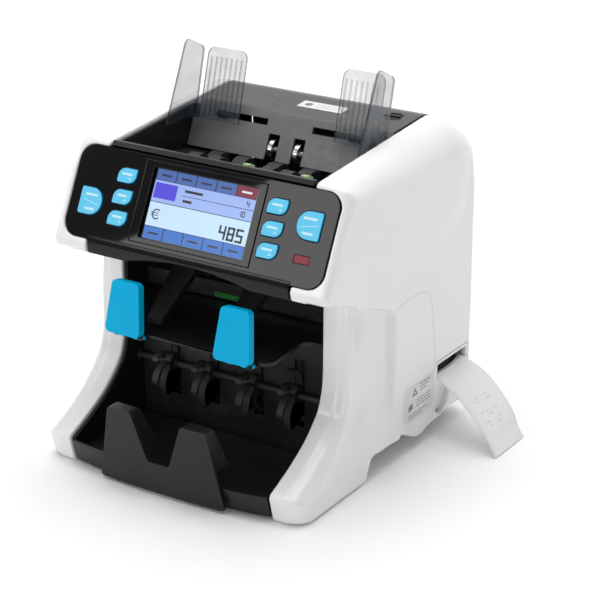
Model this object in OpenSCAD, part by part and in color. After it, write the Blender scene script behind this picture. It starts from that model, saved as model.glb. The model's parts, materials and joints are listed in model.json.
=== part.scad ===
// Two-pocket banknote counter. X is to the right as seen from the front, the front faces -Y, and Z is up.
// The origin is on the table, midway between the two side covers.

/* [Body] */
// Width over the two side covers
body_w = 262; // [258:1:270]
// Distance between the inner faces of the two side covers
inner_w = 196; // [194:1:198]
// Wall thickness of the moulded side covers
cover_wall = 2.5; // [2:0.1:3]
// Thickness of the steel side frames
frame_t = 2; // [1.5:0.1:2]
// Depth coordinate of the rear face
rear_y = 138; // [136:1:142]

/* [Control panel] */
// Width of the glossy fascia
panel_w = 246.6; // [244:0.2:247]
// Height of the fascia, measured up its slope
panel_h = 76; // [74:1:77]
// Lean of the panel from the vertical, in degrees
panel_tilt = 26.5; // [25:0.5:28]
// Travel of each button
button_travel = 1.2; // [0.8:0.1:1.4]

/* [Pockets] */
// Height of the two blue reject stops, measured up their slope
stop_h = 43.8; // [40:0.2:48]
// Height of the front stop of the lower pocket
front_stop_h = 67; // [60:1:68]
// Diameter of the stacker wheels
stacker_d = 56; // [50:1:58]

/* [Printer] */
// Width of the receipt paper
paper_w = 50; // [46:1:52]

/* [Hidden] */

$fn = 48;
eps = 0.01;

// ---- main planes ----
half_w = body_w / 2;
inner_x = inner_w / 2;
frame_x = inner_x - frame_t;
fit_gap = 0.2;
run_gap = 0.05;
bay_x = frame_x - fit_gap;

// ---- outline of the head, in (y, z) ----
panel_y = -102;
panel_z = 188;
head_low = [-103, 176.5];
under_slope = -0.36;
top_front = [-64, 260];
top_rear = [98, 271.5];
rear_r = 40;
function under_z(y) = head_low[1] + under_slope * (y - head_low[0]);
underside_end = [-56, under_z(-56)];
shoulder_r = 24;

// ---- outline of the leg, in (y, z) ----
leg_line = [[-134, 24.3], [-128, 27], [-121, 30], [-106.5, 36.8], [-94.5, 43.4], [-84, 50.1], [-75.9, 57],
    [-70, 62.5], [-63.5, 70.5], [-58.5, 84], [-56.6, 97], [-56.3, 118]];
foot_front = -134;
arch_y = -30;
arch_z = 21.3;
cover_low = 1.5;
leg_x = 122;
leg_foot_x = 126.5;
groove_y = 2;

// ---- shafts: [y, z] ----
shaft_r = 3;
pickup_at = [-4, 229];
retard_at = [44, 238];
feed_at = [26, 218];
upper_at = [70, 196];
upper_pinch_at = [88.2, 196];
lower_at = [60, 128];
exit_at = [-8, 148];
stacker_at = [-38, 64];
motor_at = [100, 110];
diverter_at = [34, 112];
arm_at = [-40, 170];
pulley_r = 9;
belt_t = 1.5;

// ---- guides ----
pinion_at = [64, 253];
pinion_teeth = 16;
gear_module = 1;
guide_lean = 15.4;
arm_z = 259;

// ---- pockets ----
shelf_tilt = 4.5;
shelf_front_y = -104;
shelf_front_z = 119;
shelf_t = 3;
stop_x = 52.6;
stop_lean = 9.6;
stop_foot = [-118.8, 119.8];
stop_pin = [-108, 116.5];
arm_x = 36;
tray_top = 22;

// ---- printer ----
paper_mid_y = 100.5;
paper_skew = 11.5;
paper_path = [[118, 56.3], [125.3, 56.1], [129, 55.2], [137, 51.4], [145.3, 46.8], [157.6, 38.9], [171.9, 27.5],
    [182.6, 16.6], [189, 8], [193.5, 0.7]];
printer_y0 = paper_mid_y - paper_w / 2 - 4;
printer_y1 = paper_mid_y + paper_w / 2 + 4;
printer_z0 = 12;
printer_z1 = 64;
roll_at = [86, 38];
roll_r = 18;
platen_at = [117, 50.5];
platen_r = 4.5;

// ---- helpers ----
function arc(c, r, a0, a1, n = 12) =
    [for (i = [0:n]) c + r * [cos(a0 + (a1 - a0) * i / n), sin(a0 + (a1 - a0) * i / n)]];
function round_box(w, h, r) = concat(
    arc([w / 2 - r[0], h / 2 - r[0]], r[0], 0, 90, 8),
    arc([-w / 2 + r[1], h / 2 - r[1]], r[1], 90, 180, 8),
    arc([-w / 2 + r[2], -h / 2 + r[2]], r[2], 180, 270, 8),
    arc([w / 2 - r[3], -h / 2 + r[3]], r[3], 270, 360, 8));
function top_z(y) = top_front[1]
    + (y - top_front[0]) * (top_rear[1] - top_front[1]) / (top_rear[0] - top_front[0]);

// Extrude a (y, z) outline along X from x0 to x1.
module along_x(x0, x1) {
    translate([x0, 0, 0]) rotate([90, 0, 90]) linear_extrude(x1 - x0) children();
}
// Extrude an (x, z) outline along Y from y0 to y1.
module along_y(y0, y1) {
    translate([0, y1, 0]) rotate([90, 0, 0]) linear_extrude(y1 - y0) children();
}
// A rod along X through (y, z).
module rod_x(at, r, x0, x1) {
    translate([x0, at[0], at[1]]) rotate([0, 90, 0]) cylinder(r = r, h = x1 - x0);
}
// A rod along Y through (x, z).
module rod_y(at, r, y0, y1) {
    translate([at[0], y1, at[1]]) rotate([90, 0, 0]) cylinder(r = r, h = y1 - y0);
}
module box(lo, hi) {
    translate(lo) cube(hi - lo);
}
module both_sides() {
    children();
    mirror([1, 0, 0]) children();
}
// Local frame of the panel: x across, y up the slope, z out of the fascia.
module on_panel() {
    translate([0, panel_y, panel_z]) rotate([90 - panel_tilt, 0, 0]) children();
}
// Rollers of one shaft: radius r, width w, at each x in xs.
module rollers(at, r, w, xs) {
    for (x = xs) rod_x(at, r, x - w / 2, x + w / 2);
}

// ---- outlines ----
module side_outline() {
    polygon(concat(
        [[underside_end[0], underside_end[1]], head_low, [-104.6, 183.5]],
        [[-68.5, 256.5]],
        arc([-63, 254.5], 5.5, 140, 95, 5),
        arc([top_rear[0], top_rear[1] - rear_r], rear_r, 90, 0, 20),
        [[rear_y, 30]],
        arc([rear_y - 12, 29.6], 12, 0, -90, 6),
        [[116, 16.7], [85.5, 14.2], [59, 11.4], [55, 9.7], [44, 10.3], [21, 20.8]],
        [[arch_y + 4, arch_z], [arch_y, arch_z - 4], [arch_y - 6, cover_low]],
        [[-126, cover_low], [-128.4, 2.7], [-129.4, 5], [foot_front, 21.5]],
        leg_line));
}
// Plan of the right cover: the rear corner is rounded, and the front corner slightly.
module cover_plan(inset) {
    r = 8;
    f = 5;
    polygon(concat(
        [[inner_x, rear_y + 1 - inset], [inner_x, -150]],
        [[half_w - f - 3, -150], [half_w - inset - 1, -104]],
        [[half_w - inset, -60]],
        arc([half_w - r, rear_y - r], r - inset, 0, 90, 10)));
}
// Front view of the right cover: a large shoulder at the top.
module cover_shoulder(inset) {
    r = shoulder_r;
    polygon(concat(
        [[inner_x - 2, -inset], [inner_x - 2, -330], [half_w - inset, -330]],
        arc([half_w - r, -r], r - inset, 0, 90, 14)));
}
module shoulder_body(inset) {
    slope = atan((top_rear[1] - top_front[1]) / (top_rear[0] - top_front[0]));
    translate([0, top_front[0], top_front[1]])
        rotate([slope, 0, 0])
            along_y(-120, 260) cover_shoulder(inset);
}
// The solid outer form of the right side cover, shrunk by inset.
module cover_form(inset) {
    intersection() {
        along_x(inner_x - 1, half_w - inset) offset(delta = -inset) side_outline();
        linear_extrude(300) cover_plan(inset);
        shoulder_body(inset);
    }
}
// What the leg gives up to be narrower than the head: the space outside its own outer face,
// which flares out towards the foot.
module leg_relief(inset) {
    r = 13;
    difference() {
        box([inner_x - 2, -160, -1], [inner_x + 58, groove_y, 179]);
        intersection() {
            translate([0, 0, -2]) linear_extrude(182) offset(delta = -inset) polygon(concat(
                [[inner_x - 30, foot_front - 20], [leg_foot_x - r - 8, foot_front - 20],
                    [leg_foot_x - r - 8, foot_front]],
                arc([leg_foot_x - r, foot_front + r], r, -90, 0, 8),
                [[leg_foot_x + 2.5, groove_y + 8], [inner_x - 30, groove_y + 8]]));
            along_y(-160, groove_y + 9) offset(delta = -inset) polygon([
                [inner_x - 30, -20], [leg_foot_x + 3, -20], [leg_foot_x + 3, 22], [leg_x + 1, 78],
                [leg_x, 100], [leg_x, 200], [inner_x - 30, 200]]);
        }
    }
}
module below_head() {
    along_x(0, half_w + 20) polygon([
        [-170, under_z(-170)], [-170, -5], [groove_y + 20, -5], [groove_y + 20, under_z(groove_y + 20)]]);
}
module panel_pocket() {
    on_panel() translate([0, panel_h / 2, -12])
        linear_extrude(30) polygon(round_box(panel_w + 2, panel_h + 0.6, [14, 14, 14, 14]));
}
module printer_opening(gap) {
    box([inner_x - 2, printer_y0 - gap, printer_z0 - gap], [half_w + 5, printer_y1 + gap, printer_z1 + gap]);
}

module side_cover() {
    color("white") difference() {
        cover_form(0);
        intersection() {
            leg_relief(0);
            below_head();
        }
        difference() {
            cover_form(cover_wall);
            intersection() {
                leg_relief(cover_wall);
                below_head();
            }
        }
        panel_pocket();
        box([0, -200, 0], [inner_x, 200, 300]);
    }
}
module side_cover_right() {
    difference() {
        side_cover();
        printer_opening(0.4);
    }
}
module side_cover_left() {
    mirror([1, 0, 0]) side_cover();
}

// ---- frames ----
bush_r = 5;
bushed = [pickup_at, retard_at, feed_at, upper_at, upper_pinch_at, lower_at,
    exit_at, stacker_at, diverter_at, arm_at];
module frame_outline() {
    difference() {
        union() {
            offset(delta = -3.6) side_outline();
            translate([-46, 8.6]) square([17, 18]);
        }
        translate([panel_y, panel_z]) rotate(90 - panel_tilt) translate([-40, -11]) square([150, 52]);
        for (at = bushed) translate(at) circle(r = bush_r);
        translate(motor_at) circle(r = 12);
    }
}
module side_frame_left() {
    color("#232425") along_x(-inner_x, -frame_x) frame_outline();
}
module side_frame_right() {
    color("#232425") difference() {
        along_x(frame_x, inner_x) frame_outline();
        printer_opening(2);
    }
}
module bushes() {
    color("goldenrod") both_sides() difference() {
        for (at = bushed) rod_x(at, bush_r, frame_x, inner_x);
        for (at = bushed) rod_x(at, shaft_r + run_gap, frame_x - 1, inner_x + 1);
    }
}
base_z = 10;
base_x = 95.5;
base_y0 = -26;
base_top = 23;
module base_pan() {
    color("gray") difference() {
        box([-base_x, base_y0, base_z], [base_x, rear_y - 3, base_top]);
        box([-base_x + 1.5, base_y0 + 2, base_z + 2], [base_x - 1.5, rear_y, base_top + 1]);
        box([base_x - 10, printer_y0 - 3, base_z + 2], [140, printer_y1 + 3, base_top + 1]);
    }
}
module feet() {
    color("black") both_sides() {
        translate([107, -100, 0]) cylinder(r = 7, h = cover_low);
        translate([foot_at[0], foot_at[1], 0]) cylinder(r1 = 9, r2 = 10, h = base_z);
    }
}
foot_at = [85, 74];

// ---- top and rear ----
cover_front_y = 54;
door_split = 40;
door_low = 83.4;
hinge_at = [135.2, 80.5];
module rear_arc(a0, a1) {
    c = [top_rear[0], top_rear[1] - rear_r];
    polygon(concat(arc(c, rear_r - 0.3, a0, a1, 10), arc(c, rear_r - 2.8, a1, a0, 10)));
}
module top_cover() {
    color("#3a3c3f") difference() {
        along_x(-bay_x, bay_x) union() {
            polygon([[cover_front_y, top_z(cover_front_y) - 5], [cover_front_y, top_z(cover_front_y)],
                [top_rear[0], top_rear[1] - 0.3], [top_rear[0], top_rear[1] - 2.8],
                [cover_front_y + 2.5, top_z(cover_front_y) - 2.5],
                [cover_front_y + 2.5, top_z(cover_front_y) - 5]]);
            rear_arc(90, door_split);
        }
        translate([knob_x, knob_y, 240]) cylinder(r = 8.4, h = 60);
    }
}
knob_x = 76;
knob_y = 86;
module gap_knob() {
    z = top_z(knob_y);
    color("#232426") {
        translate([knob_x, knob_y, z - 4]) cylinder(r = 8, h = 3.4);
        translate([knob_x - 7, knob_y - 1.2, z - 1]) cube([14, 2.4, 2.2]);
        translate([knob_x, knob_y, z - 22]) cylinder(r = 2.5, h = 20);
    }
}
module rear_door() {
    color("#3a3c3f") difference() {
        union() {
            along_x(-bay_x, bay_x) union() {
                rear_arc(door_split - 1, 0);
                polygon([[rear_y - 2.8, door_low], [rear_y - 0.3, door_low],
                    [rear_y - 0.3, top_rear[1] - rear_r + eps], [rear_y - 2.8, top_rear[1] - rear_r + eps]]);
            }
            both_sides() rod_x(hinge_at, 2.6, 60, 74);
            both_sides() box([60, rear_y - 2.8, hinge_at[1]], [74, rear_y - 0.3, door_low + 1]);
        }
        both_sides() rod_x(hinge_at, 1.55, 59, 75);
        box([-30, rear_y - 1.5, 150], [30, rear_y + 1, 166]);
    }
}
inlet_x = -62;
switch_x = -26;
port_x = 38;
switch_at = [129, 44];
switch_pin_r = 1.5;
module rear_panel() {
    color("#2b2c2e") {
        difference() {
            box([-bay_x, rear_y - 2.8, 12.2], [bay_x, rear_y - 0.3, 76.5]);
            box([switch_x - 6.6, rear_y - 4, 32.6], [switch_x + 6.6, rear_y, 55.4]);
            box([inlet_x - 12, rear_y - 4, 34], [inlet_x + 12, rear_y, 50]);
            for (i = [0:5]) box([4, rear_y - 4, 20 + 8 * i], [22, rear_y, 23 + 8 * i]);
            box([port_x - 8, rear_y - 4, 36], [port_x + 8, rear_y, 46]);
        }
        difference() {
            box([inlet_x - 14, rear_y - 22, 32], [inlet_x + 14, rear_y - 2.8, 52]);
            box([inlet_x - 12, rear_y - 19, 34], [inlet_x + 12, rear_y, 50]);
        }
        both_sides() difference() {
            union() {
                rod_x(hinge_at, 2.6, 74.2, 80);
                box([74.2, rear_y - 5.4, 70], [80, rear_y - 2.8, hinge_at[1]]);
            }
            rod_x(hinge_at, 1.5, 74, 81);
        }
        both_sides() rod_x(hinge_at, 1.5, 58, 80);
        for (s = [-1, 1]) difference() {
            box([switch_x + s * 7.7 - 1, rear_y - 13, 38], [switch_x + s * 7.7 + 1, rear_y - 2.8, 50]);
            rod_x(switch_at, switch_pin_r + run_gap, switch_x - 9, switch_x + 9);
        }
        for (x = [-5, 5]) rod_y([inlet_x + x, 44], 1.2, rear_y - 20, rear_y - 6);
        rod_y([inlet_x, 38.5], 1.2, rear_y - 20, rear_y - 6);
    }
}
module power_switch() {
    color("#111111") {
        along_x(switch_x - 6.2, switch_x + 6.2) polygon([
            [rear_y - 12, 36], [rear_y - 12, 52], [rear_y - 1, 53.6], [rear_y - 0.2, 52],
            [rear_y - 1.8, 44], [rear_y + 0.8, 36.4], [rear_y - 0.2, 34.4]]);
        rod_x(switch_at, switch_pin_r, switch_x - 8.6, switch_x + 8.6);
    }
}

// ---- hopper ----
module hopper_tray() {
    color("#191a1c") difference() {
        along_x(-bay_x, bay_x) polygon([
            [-67.4, 257.5], [-65.2, 261], [-61.5, 260.6], [-54.4, 247.5], [12, 232.2], [12, 230],
            [-55.8, 245.2], [-62.6, 256.2]]);
        box([-72, -22, 215], [72, 13, 250]);
    }
    color("#191a1c") along_x(-bay_x, -72.2) polygon([[12.2, 232.2], [34, 229], [34, 227], [12.2, 230]]);
    color("#191a1c") along_x(72.2, bay_x) polygon([[12.2, 232.2], [34, 229], [34, 227], [12.2, 230]]);
}
plate_low = [35, 231];
plate_high = [51, 266];
notch_x = 12.5;
pinion_stud_r = 2;
module hopper_back_plate() {
    color("#77797c") difference() {
        along_x(-bay_x, bay_x) polygon([
            plate_low, plate_high, [53.5, top_z(53.5) + 0.4], [53.5, top_z(53.5) - 2.6], plate_high + [2, -2.6],
            plate_low + [2.2, 0]]);
        both_sides() box([notch_x - 5.5, 30, 225], [notch_x + 5.5, 49, 251]);
        both_sides() box([22, 40, arm_z - 2.8], [74, 60, arm_z + 2.8]);
    }
    color("#77797c") rod_y([0, pinion_at[1]], pinion_stud_r, 46, pinion_at[0] + 3);
}
module retard_rollers() {
    color("silver") {
        rollers(retard_at, 9, 4, [-notch_x, notch_x]);
        rod_x(retard_at, shaft_r, -inner_x, inner_x);
    }
}

// ---- feed rollers ----
module pickup_rollers() {
    color("#1c1c1d") {
        rollers(pickup_at, 11.5, 11, [-58, -38, 14, 32]);
        rod_x(pickup_at, shaft_r, -inner_x, inner_x + 8);
        rollers(pickup_at, pulley_r, 4, [inner_x + 4]);
    }
}
module toothed(r, teeth, depth) {
    circle(r = r - depth);
    for (i = [0:teeth - 1]) rotate(360 * i / teeth)
        translate([r - depth - 0.5, -r * 0.11]) square([depth + 0.5, r * 0.22]);
}
module pickup_gears() {
    color("#cfe3bd") for (x = [-8, 48]) difference() {
        along_x(x - 3, x + 3) translate(pickup_at) toothed(10.5, 16, 1.8);
        rod_x(pickup_at, shaft_r, x - 4, x + 4);
    }
}
module feed_rollers() {
    color("#202122") {
        rollers(feed_at, 15, 12, [-58, -32, 0, 32, 58]);
        rod_x(feed_at, shaft_r, -inner_x - 8, inner_x + 8);
        rollers(feed_at, pulley_r, 4, [inner_x + 4, -inner_x - 4]);
    }
}
module upper_drive_rollers() {
    color("#202122") {
        rollers(upper_at, 11, 14, [-60, -20, 20, 60]);
        rod_x(upper_at, shaft_r, -inner_x - 8, inner_x);
        rollers(upper_at, pulley_r, 4, [-inner_x - 4]);
    }
}
module lower_drive_rollers() {
    color("#202122") {
        rollers(lower_at, 11, 14, [-60, -20, 20, 60]);
        rod_x(lower_at, shaft_r, -inner_x - 14, inner_x);
        rollers(lower_at, pulley_r, 4, [-inner_x - 4, -inner_x - 10]);
    }
}
module pinch_rollers() {
    color("silver") {
        rollers(upper_pinch_at, 7, 12, [-60, -20, 20, 60]);
        rod_x(upper_pinch_at, shaft_r, -inner_x, inner_x);
    }
}
module exit_rollers() {
    color("#202122") {
        rollers(exit_at, 8, 14, [-60, 0, 60]);
        rod_x(exit_at, shaft_r, -inner_x - 14, inner_x);
        rollers(exit_at, pulley_r, 4, [-inner_x - 10]);
    }
}
vanes = 8;
module stacker_wheels() {
    r = stacker_d / 2;
    color("#26272a") {
        for (x = [-62, -22, 22, 62]) along_x(x - 3, x + 3) translate(stacker_at) {
            circle(r = 9);
            for (i = [0:vanes - 1]) rotate(360 * i / vanes) intersection() {
                circle(r = r);
                translate([0, 16]) difference() {
                    circle(r = 16);
                    circle(r = 14.4);
                    translate([-40, -20]) square([40, 60]);
                }
            }
        }
        rod_x(stacker_at, shaft_r, -inner_x - 14, inner_x);
        rollers(stacker_at, pulley_r, 4, [-inner_x - 10]);
    }
}
module belt(path, x) {
    along_x(x - 1.8, x + 1.8) difference() {
        hull() for (at = path) translate(at) circle(r = pulley_r + 0.1 + belt_t);
        hull() for (at = path) translate(at) circle(r = pulley_r + 0.1);
    }
}
module drive_belts() {
    color("#151515") {
        belt([motor_at, upper_at, feed_at, lower_at], -inner_x - 4);
        belt([lower_at, exit_at, stacker_at], -inner_x - 10);
        belt([pickup_at, feed_at], inner_x + 4);
    }
}
motor_shaft_r = 2.5;
module drive_motor() {
    color("#9a9da0") difference() {
        rod_x(motor_at, 17, -frame_x, -40);
        rod_x(motor_at, motor_shaft_r + run_gap, -frame_x - 1, -50);
    }
}
module motor_pulley() {
    color("#c9a24a") {
        rod_x(motor_at, motor_shaft_r, -inner_x - 8, -52);
        rollers(motor_at, pulley_r, 4, [-inner_x - 4]);
    }
}
module sensor_bars() {
    color("#1d1f22") {
        box([-92, 40, 150], [92, 64, 176]);
        box([-92, 72, 150], [92, 92, 176]);
    }
}
module diverter() {
    color("#303236") {
        rod_x(diverter_at, shaft_r, -inner_x, inner_x);
        for (x = [-70:20:70]) along_x(x - 3, x + 3) polygon([
            diverter_at + [-2, 3.5], diverter_at + [6, 2], diverter_at + [16, 22], diverter_at + [14.5, 22]]);
        for (x = [-70:20:70]) rod_x(diverter_at, 5, x - 3, x + 3);
    }
}

// ---- guides ----
pitch = PI * gear_module;
pinion_r = gear_module * pinion_teeth / 2;
module pinion_tooth() {
    root = pinion_r - 1.4;
    tip = pinion_r + 0.85;
    polygon([[root, -0.95], [tip, -0.38], [tip, 0.38], [root, 0.95]]);
}
module guide_pinion() {
    color("white") along_y(pinion_at[0] - 1.5, pinion_at[0] + 1.5) translate([0, pinion_at[1]]) difference() {
        union() {
            circle(r = pinion_r - 1.3);
            for (i = [0:pinion_teeth - 1]) rotate(360 * i / pinion_teeth) pinion_tooth();
        }
        circle(r = pinion_stud_r + run_gap);
    }
}
// One guide at the right side; rack_side is 1 for the rack above the pinion and -1 for the one below.
module guide(rack_side) {
    z0 = 255;
    plate_h = 61;
    translate([0, 40, z0]) rotate([-guide_lean, 0, 0]) {
        // ribbed plate facing the notes, with rounded top corners
        along_y(0, 2) polygon(concat(
            [[47, 0], [86, 0]], arc([79, plate_h - 7], 7, 0, 90, 6), arc([54, plate_h - 7], 7, 90, 180, 6)));
        for (x = [51:5:82]) box([x - 0.5, -0.8, 3], [x + 0.5, eps, plate_h - 8]);
        // foot that joins the ribbed plate to the side plate
        box([86 - eps, -10, 0], [93.5, 2, 12]);
    }
    along_x(91.5, 93.5) polygon(concat(
        [[2, 257], [44, 257]], arc([51.5, 309], 6, -10, 80, 6), arc([37, 316], 7, 95, 155, 6)));
    // arm through the plate's slot, and the rack behind it
    box([60, 42.5, arm_z - 2], [70, 60, arm_z + 2]);
}
module rack(side) {
    y0 = pinion_at[0] - 1.5;
    zc = pinion_at[1] + side * pinion_r;
    n = 27;
    along_y(y0, y0 + 3) translate([0, zc]) {
        translate([-6 * pitch, side > 0 ? 1 : -4]) square([(n - 1) * pitch, 3]);
        for (i = [-6:n - 8]) translate([(i + 0.5) * pitch, 0])
            polygon([[-1.0, side * 1.05], [-0.42, side * -0.8], [0.42, side * -0.8], [1.0, side * 1.05]]);
    }
}
module guide_right() {
    color([0.6, 0.66, 0.7, 0.5]) {
        guide(1);
        rack(1);
        box([60, 58, arm_z - 2], [70, 65.5, arm_z + 2]);
        box([62, 62.5, arm_z + 2 - eps], [68, 65.5, pinion_at[1] + pinion_r + 2]);
    }
}
module guide_left() {
    color([0.6, 0.66, 0.7, 0.5]) mirror([1, 0, 0]) {
        guide(-1);
        rack(-1);
        box([60, 58, pinion_at[1] - pinion_r - 4], [70, 62.4, arm_z + 2]);
        box([60, 62, pinion_at[1] - pinion_r - 4], [70, 65.5, pinion_at[1] - pinion_r - 1]);
    }
}

// ---- control panel ----
window_w = 114;
window_h = 66;
window_at = [-1, 39];
window_step = 0.6;
screen_w = 96;
screen_h = 57;
screen_at = [0.8, 39];
screen_depth = 1.4;
leaf = [18.2, 12.4];
left_leaf_at = [[-73, 56], [-73, 38.5], [-73, 21]];
right_leaf_at = [[70, 56.8], [70, 39], [70, 21.8]];
back_at = [-102, 30];
start_at = [101, 47.5];
round_w = 22;
round_h = 22.5;
indicator_at = [101, 21];
button_gap = 0.3;
button_proud = 1.3;
lip_v = 2.5;
// Outlines: a leaf has two opposite corners well rounded, and a round-sided button has one flat side.
module leaf_shape(grow) {
    polygon(round_box(leaf[0] + 2 * grow, leaf[1] + 2 * grow, [1.5 + grow, 8 + grow, 1.5 + grow, 8 + grow]));
}
module round_side_shape(grow, side) {
    r = round_h / 2;
    scale([side, 1]) polygon(round_box(round_w + 2 * grow, round_h + 2 * grow,
        [2 + grow, r - 0.5 + grow, r - 0.5 + grow, 2 + grow]));
}
module button_cut() {
    for (at = concat(left_leaf_at, right_leaf_at)) translate(at) leaf_shape(button_gap);
    translate(start_at) round_side_shape(button_gap, 1);
    translate(back_at) round_side_shape(button_gap, -1);
}
module panel_fascia() {
    color("#0c0d0f") on_panel() difference() {
        translate([0, 0, -3]) linear_extrude(3)
            translate([0, panel_h / 2]) polygon(round_box(panel_w, panel_h, [13.5, 13.5, 13.5, 13.5]));
        translate([window_at[0], window_at[1], -window_step]) linear_extrude(2)
            square([window_w, window_h], center = true);
        translate([0, 0, -4]) linear_extrude(5) {
            translate(screen_at) square([screen_w, screen_h], center = true);
            button_cut();
            translate(indicator_at) square([14, 6.4], center = true);
            translate([-bay_x - 0.3, -1]) square([2 * bay_x + 0.6, lip_v + 1.2]);
        }
    }
}
module panel_housing() {
    color("#151618") on_panel() difference() {
        translate([0, 0, -10]) linear_extrude(7)
            translate([0, panel_h / 2]) polygon(round_box(panel_w - 3, panel_h - 3, [12, 12, 12, 12]));
        translate([0, 0, -8.4]) linear_extrude(6)
            translate([0, panel_h / 2]) polygon(round_box(panel_w - 7, panel_h - 7, [10, 10, 10, 10]));
    }
}
// The lower cover: a narrow lip in line with the fascia, a front wall, and a floor that vaults up
// in the middle.
vault_w = 60;
vault_h = 7.8;
vault_r = (vault_w * vault_w + vault_h * vault_h) / (2 * vault_h);
function vault(n = 16) =
    arc([0, vault_h - vault_r], vault_r, 90 + asin(vault_w / vault_r), 90 - asin(vault_w / vault_r), n);
function panel_point(v, w) = [panel_y, panel_z] + v * [sin(panel_tilt), cos(panel_tilt)]
    + w * [-cos(panel_tilt), sin(panel_tilt)];
module head_lower_cover() {
    t = 2.5;
    color("#151618") difference() {
        union() {
            difference() {
                along_x(-bay_x, bay_x) polygon([
                    head_low, panel_point(-lip_v, 0), panel_point(lip_v, 0), panel_point(lip_v, -2.4),
                    panel_point(-0.6, -2.4), [-100.5, head_low[1] + 2.4], [-100.5, head_low[1] - 0.9]]);
                along_y(-110, -95) translate([0, head_low[1]])
                    polygon(concat([[-vault_w, -9]], vault(), [[vault_w, -9]]));
            }
            translate([0, head_low[0], head_low[1]]) rotate([atan(under_slope), 0, 0])
                along_y(0, 81.5) polygon(concat([[-bay_x, 0]], vault(), [[bay_x, 0], [bay_x, t]],
                    [for (i = [16:-1:0]) vault()[i] + [0, t]], [[-bay_x, t]]));
        }
        both_sides() box([arm_x - 13, -90, 140], [arm_x + 13, -42, 186]);
    }
}
module display_screen() {
    color("#9fc0f2") on_panel() translate([screen_at[0], screen_at[1], -4.6]) linear_extrude(4.6 - screen_depth)
        square([screen_w - 0.4, screen_h - 0.4], center = true);
}
module indicator_window() {
    color("#a3182c") on_panel() translate([indicator_at[0], indicator_at[1], -3]) linear_extrude(2.8)
        square([13.8, 6.2], center = true);
}
module control_board() {
    color("darkgreen") on_panel() translate([0, panel_h / 2, -8.3]) linear_extrude(1.4)
        polygon(round_box(panel_w - 10, panel_h - 10, [8, 8, 8, 8]));
}
module button_at(at) {
    depth = 6.2 - button_travel;
    color("#5ccbea") on_panel() translate([at[0], at[1], -depth])
        linear_extrude(depth + button_proud) children();
}
module start_stop_button() {
    button_at(start_at) round_side_shape(0, 1);
}
module back_button() {
    button_at(back_at) round_side_shape(0, -1);
}
module left_key(i) {
    button_at(left_leaf_at[i]) leaf_shape(0);
}
module right_key(i) {
    button_at(right_leaf_at[i]) leaf_shape(0);
}

// ---- reject pocket ----
module shelf_plan() {
    w = 84;
    r = 24;
    polygon(concat(
        [[-bay_x, 80], [-bay_x, 49]],
        arc([-w - 6, 49 - r + 14], 10, 90, 0, 6),
        arc([-w + 14, 10], 10, 180, 270, 6),
        arc([w - 14, 10], 10, 270, 360, 6),
        arc([w + 6, 49 - r + 14], 10, 180, 90, 6),
        [[bay_x, 49], [bay_x, 80]]));
}
module reject_shelf() {
    color("#131415") difference() {
        union() {
            translate([0, shelf_front_y, shelf_front_z - shelf_t]) rotate([shelf_tilt, 0, 0])
                linear_extrude(shelf_t) shelf_plan();
            for (s = [-1, 1]) for (x = [-12, 12]) along_x(s * stop_x + x - 2, s * stop_x + x + 2)
                polygon([[-100, 118.4], [-100, 113.6], stop_pin + [0, -3], stop_pin + [-2.1, -2.1],
                    stop_pin + [-3, 0], stop_pin + [-2.1, 2.1], stop_pin + [0, 3], [-103.5, 118.6]]);
        }
        for (s = [-1, 1]) rod_x(stop_pin, 1.55, s * stop_x - 15, s * stop_x + 15);
    }
}
module reject_stop() {
    h = stop_h;
    color("#00a9db") {
        translate([stop_x, stop_foot[0], stop_foot[1]]) rotate([90 - stop_lean, 0, 0])
            translate([0, 0, -7]) linear_extrude(7) polygon(concat(
                arc([12.4, 4.5], 4.5, -90, 0, 5), arc([9.3, h - 4], 4, 5, 90, 5),
                arc([-9.3, h - 4], 4, 90, 175, 5), arc([-12.4, 4.5], 4.5, 180, 270, 5)));
        for (x = [-7, 7]) difference() {
            along_x(stop_x + x - 2.5, stop_x + x + 2.5)
                polygon([[-113.5, 120.3], stop_pin + [-2.6, -1.6], stop_pin + [0, -2.6],
                    stop_pin + [2.4, -0.6], stop_pin + [1.2, 2.4], [-110, 127.5]]);
            rod_x(stop_pin, 1.5, stop_x - 20, stop_x + 20);
        }
        rod_x(stop_pin, 1.5, stop_x - 15, stop_x + 15);
    }
}
module reject_stop_right() {
    reject_stop();
}
module reject_stop_left() {
    mirror([1, 0, 0]) reject_stop();
}
module hold_down_arm(side) {
    x = side * arm_x;
    color("#1a1b1d") {
        difference() {
            union() {
                rod_x(arm_at, 5.5, x - 11, x + 11);
                along_x(x - 11, x + 11) polygon([arm_at + [-1, 5.3], [-58, 157.5], [-97.5, 129.5],
                    [-98, 126.5], [-94, 127], [-57, 152.5], arm_at + [-3, -5]]);
            }
            rod_x(arm_at, shaft_r + run_gap, x - 12, x + 12);
            both_sides() translate([0, -100, 120]) linear_extrude(60)
                polygon([[arm_x + 6.6, 0], [arm_x + 11.1, 43], [arm_x + 20, 43], [arm_x + 20, 0]]);
            both_sides() translate([0, -100, 120]) linear_extrude(60)
                polygon([[arm_x - 6.6, 0], [arm_x - 11.1, 43], [arm_x - 20, 43], [arm_x - 20, 0]]);
        }
    }
}
module hold_down_arm_left() {
    hold_down_arm(-1);
}
module hold_down_arm_right() {
    hold_down_arm(1);
}
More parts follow.
